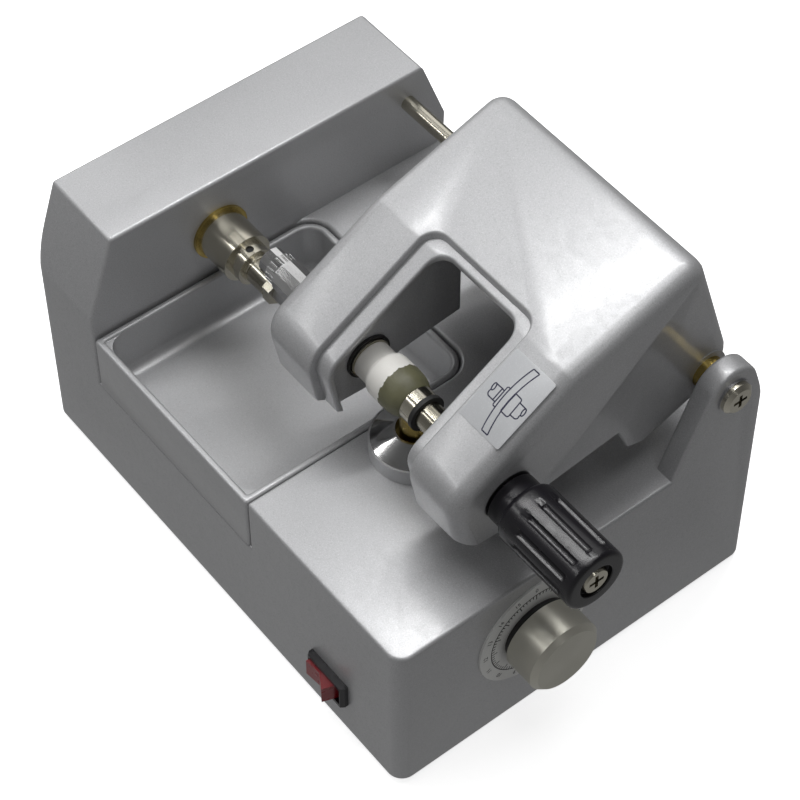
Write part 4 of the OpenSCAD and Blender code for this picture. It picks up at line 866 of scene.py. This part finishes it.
def make_floor():
    mesh = bpy.data.meshes.new("floor")
    bm = bmesh.new()
    bmesh.ops.create_grid(bm, x_segments=1, y_segments=1, size=FLOOR_HALF)
    bm.to_mesh(mesh)
    bm.free()
    white = Nodes("floor_white")
    mesh.materials.append(white.set(Base_Color=(0.9, 0.9, 0.9), Roughness=0.9, Specular_IOR_Level=0.1,
                                    Emission_Color=(1.0, 1.0, 1.0), Emission_Strength=0.75))
    obj = add_object("floor", mesh)
    # The floor takes shadows, but sheds no light of its own on the machine
    obj.visible_diffuse = False
    obj.visible_glossy = False
    return obj


floor = make_floor()


# Light of the room, weak from above

# It is strongest from this direction, below and in front, as a pale floor throws light back
ROOM_FROM = (0.0, -0.35, -0.94)
ROOM_WEAK, ROOM_STRONG = 0.05, 0.31


def make_room():
    """Sky whose strength runs evenly from its weak side to its strong one."""
    world = bpy.data.worlds.new("studio")
    bpy.context.scene.world = world
    world.use_nodes = True
    nodes, links = world.node_tree.nodes, world.node_tree.links
    lean = nodes.new("ShaderNodeVectorMath")
    lean.operation = "DOT_PRODUCT"
    lean.inputs[1].default_value = ROOM_FROM
    links.new(nodes.new("ShaderNodeTexCoord").outputs["Generated"], lean.inputs[0])
    strength = nodes.new("ShaderNodeMapRange")
    links.new(lean.outputs["Value"], strength.inputs["Value"])
    strength.inputs["From Min"].default_value = -1.0
    strength.inputs["From Max"].default_value = 1.0
    strength.inputs["To Min"].default_value = ROOM_WEAK
    strength.inputs["To Max"].default_value = ROOM_STRONG
    links.new(strength.outputs["Result"], nodes["Background"].inputs["Strength"])
    nodes["Background"].inputs["Color"].default_value = (1, 1, 1, 1)


make_room()


# Lamps: a long one and a broad one overhead, soft ones behind and beside the machine, a long one before it

AIM = Vector((0, 0, 0.1))
# Place, size and power in watts
SOFTBOXES = {
    "overhead": ((-0.30, 0.10, 1.20), (1.3, 0.06), 5.6),
    "broad": ((0.0, 0.15, 1.20), (0.9, 0.9), 4.2),
    "rear_left": ((-0.70, 0.80, 0.90), (0.9, 0.7), 1.9),
    "left": ((-1.10, 0.0, 0.80), (0.6, 0.9), 2.5),
    "front": ((-0.50, -0.90, 1.00), (1.0, 0.07), 2.2),
    "right": ((0.70, 0.0, 1.00), (0.10, 0.9), 0.6),
}


def softbox(name, place, size, power):
    """Rectangular lamp that faces the machine."""
    light = bpy.data.lights.new(name, "AREA")
    light.shape = "RECTANGLE"
    light.size, light.size_y = size
    light.energy = power
    obj = add_object(name, light)
    obj.location = place
    obj.rotation_euler = (AIM - Vector(place)).to_track_quat("-Z", "Y").to_euler()


for name, (place, size, power) in SOFTBOXES.items():
    softbox(name, place, size, power)


# Camera, fitted to the casing's edges in the photograph

LENS_MM, SENSOR_MM = 120.38, 36
SHIFT_X, SHIFT_Y = 0.0014, -0.1419
AZIMUTH, ELEVATION, ROLL = math.radians(52.05), math.radians(48.97), math.radians(-0.28)
# It looks at this point, in millimetres from the casing's corner, from this far in metres
LOOK_AT, DISTANCE = (125.0, 98.67, 123.09), 1.0905
CLIP_NEAR, CLIP_FAR = 0.05, 20


def make_camera():
    """Camera that looks down at the front right corner, with its own small roll and shift."""
    camera = bpy.data.cameras.new("camera")
    camera.lens, camera.sensor_width = LENS_MM, SENSOR_MM
    camera.shift_x, camera.shift_y = SHIFT_X, SHIFT_Y
    camera.clip_start, camera.clip_end = CLIP_NEAR, CLIP_FAR
    forward = Vector((-math.sin(AZIMUTH) * math.cos(ELEVATION), math.cos(AZIMUTH) * math.cos(ELEVATION),
                      -math.sin(ELEVATION)))
    side = forward.cross(Vector((0, 0, 1))).normalized()
    over = side.cross(forward)
    right = side * math.cos(ROLL) + over * math.sin(ROLL)
    up = over * math.cos(ROLL) - side * math.sin(ROLL)
    eye = add_object("camera", camera)
    eye.matrix_world = placed(right, up, -forward, at(*LOOK_AT) - forward * DISTANCE)
    bpy.context.scene.camera = eye


make_camera()
bpy.context.scene.view_settings.view_transform = "Standard"
bpy.context.scene.view_settings.look = "None"
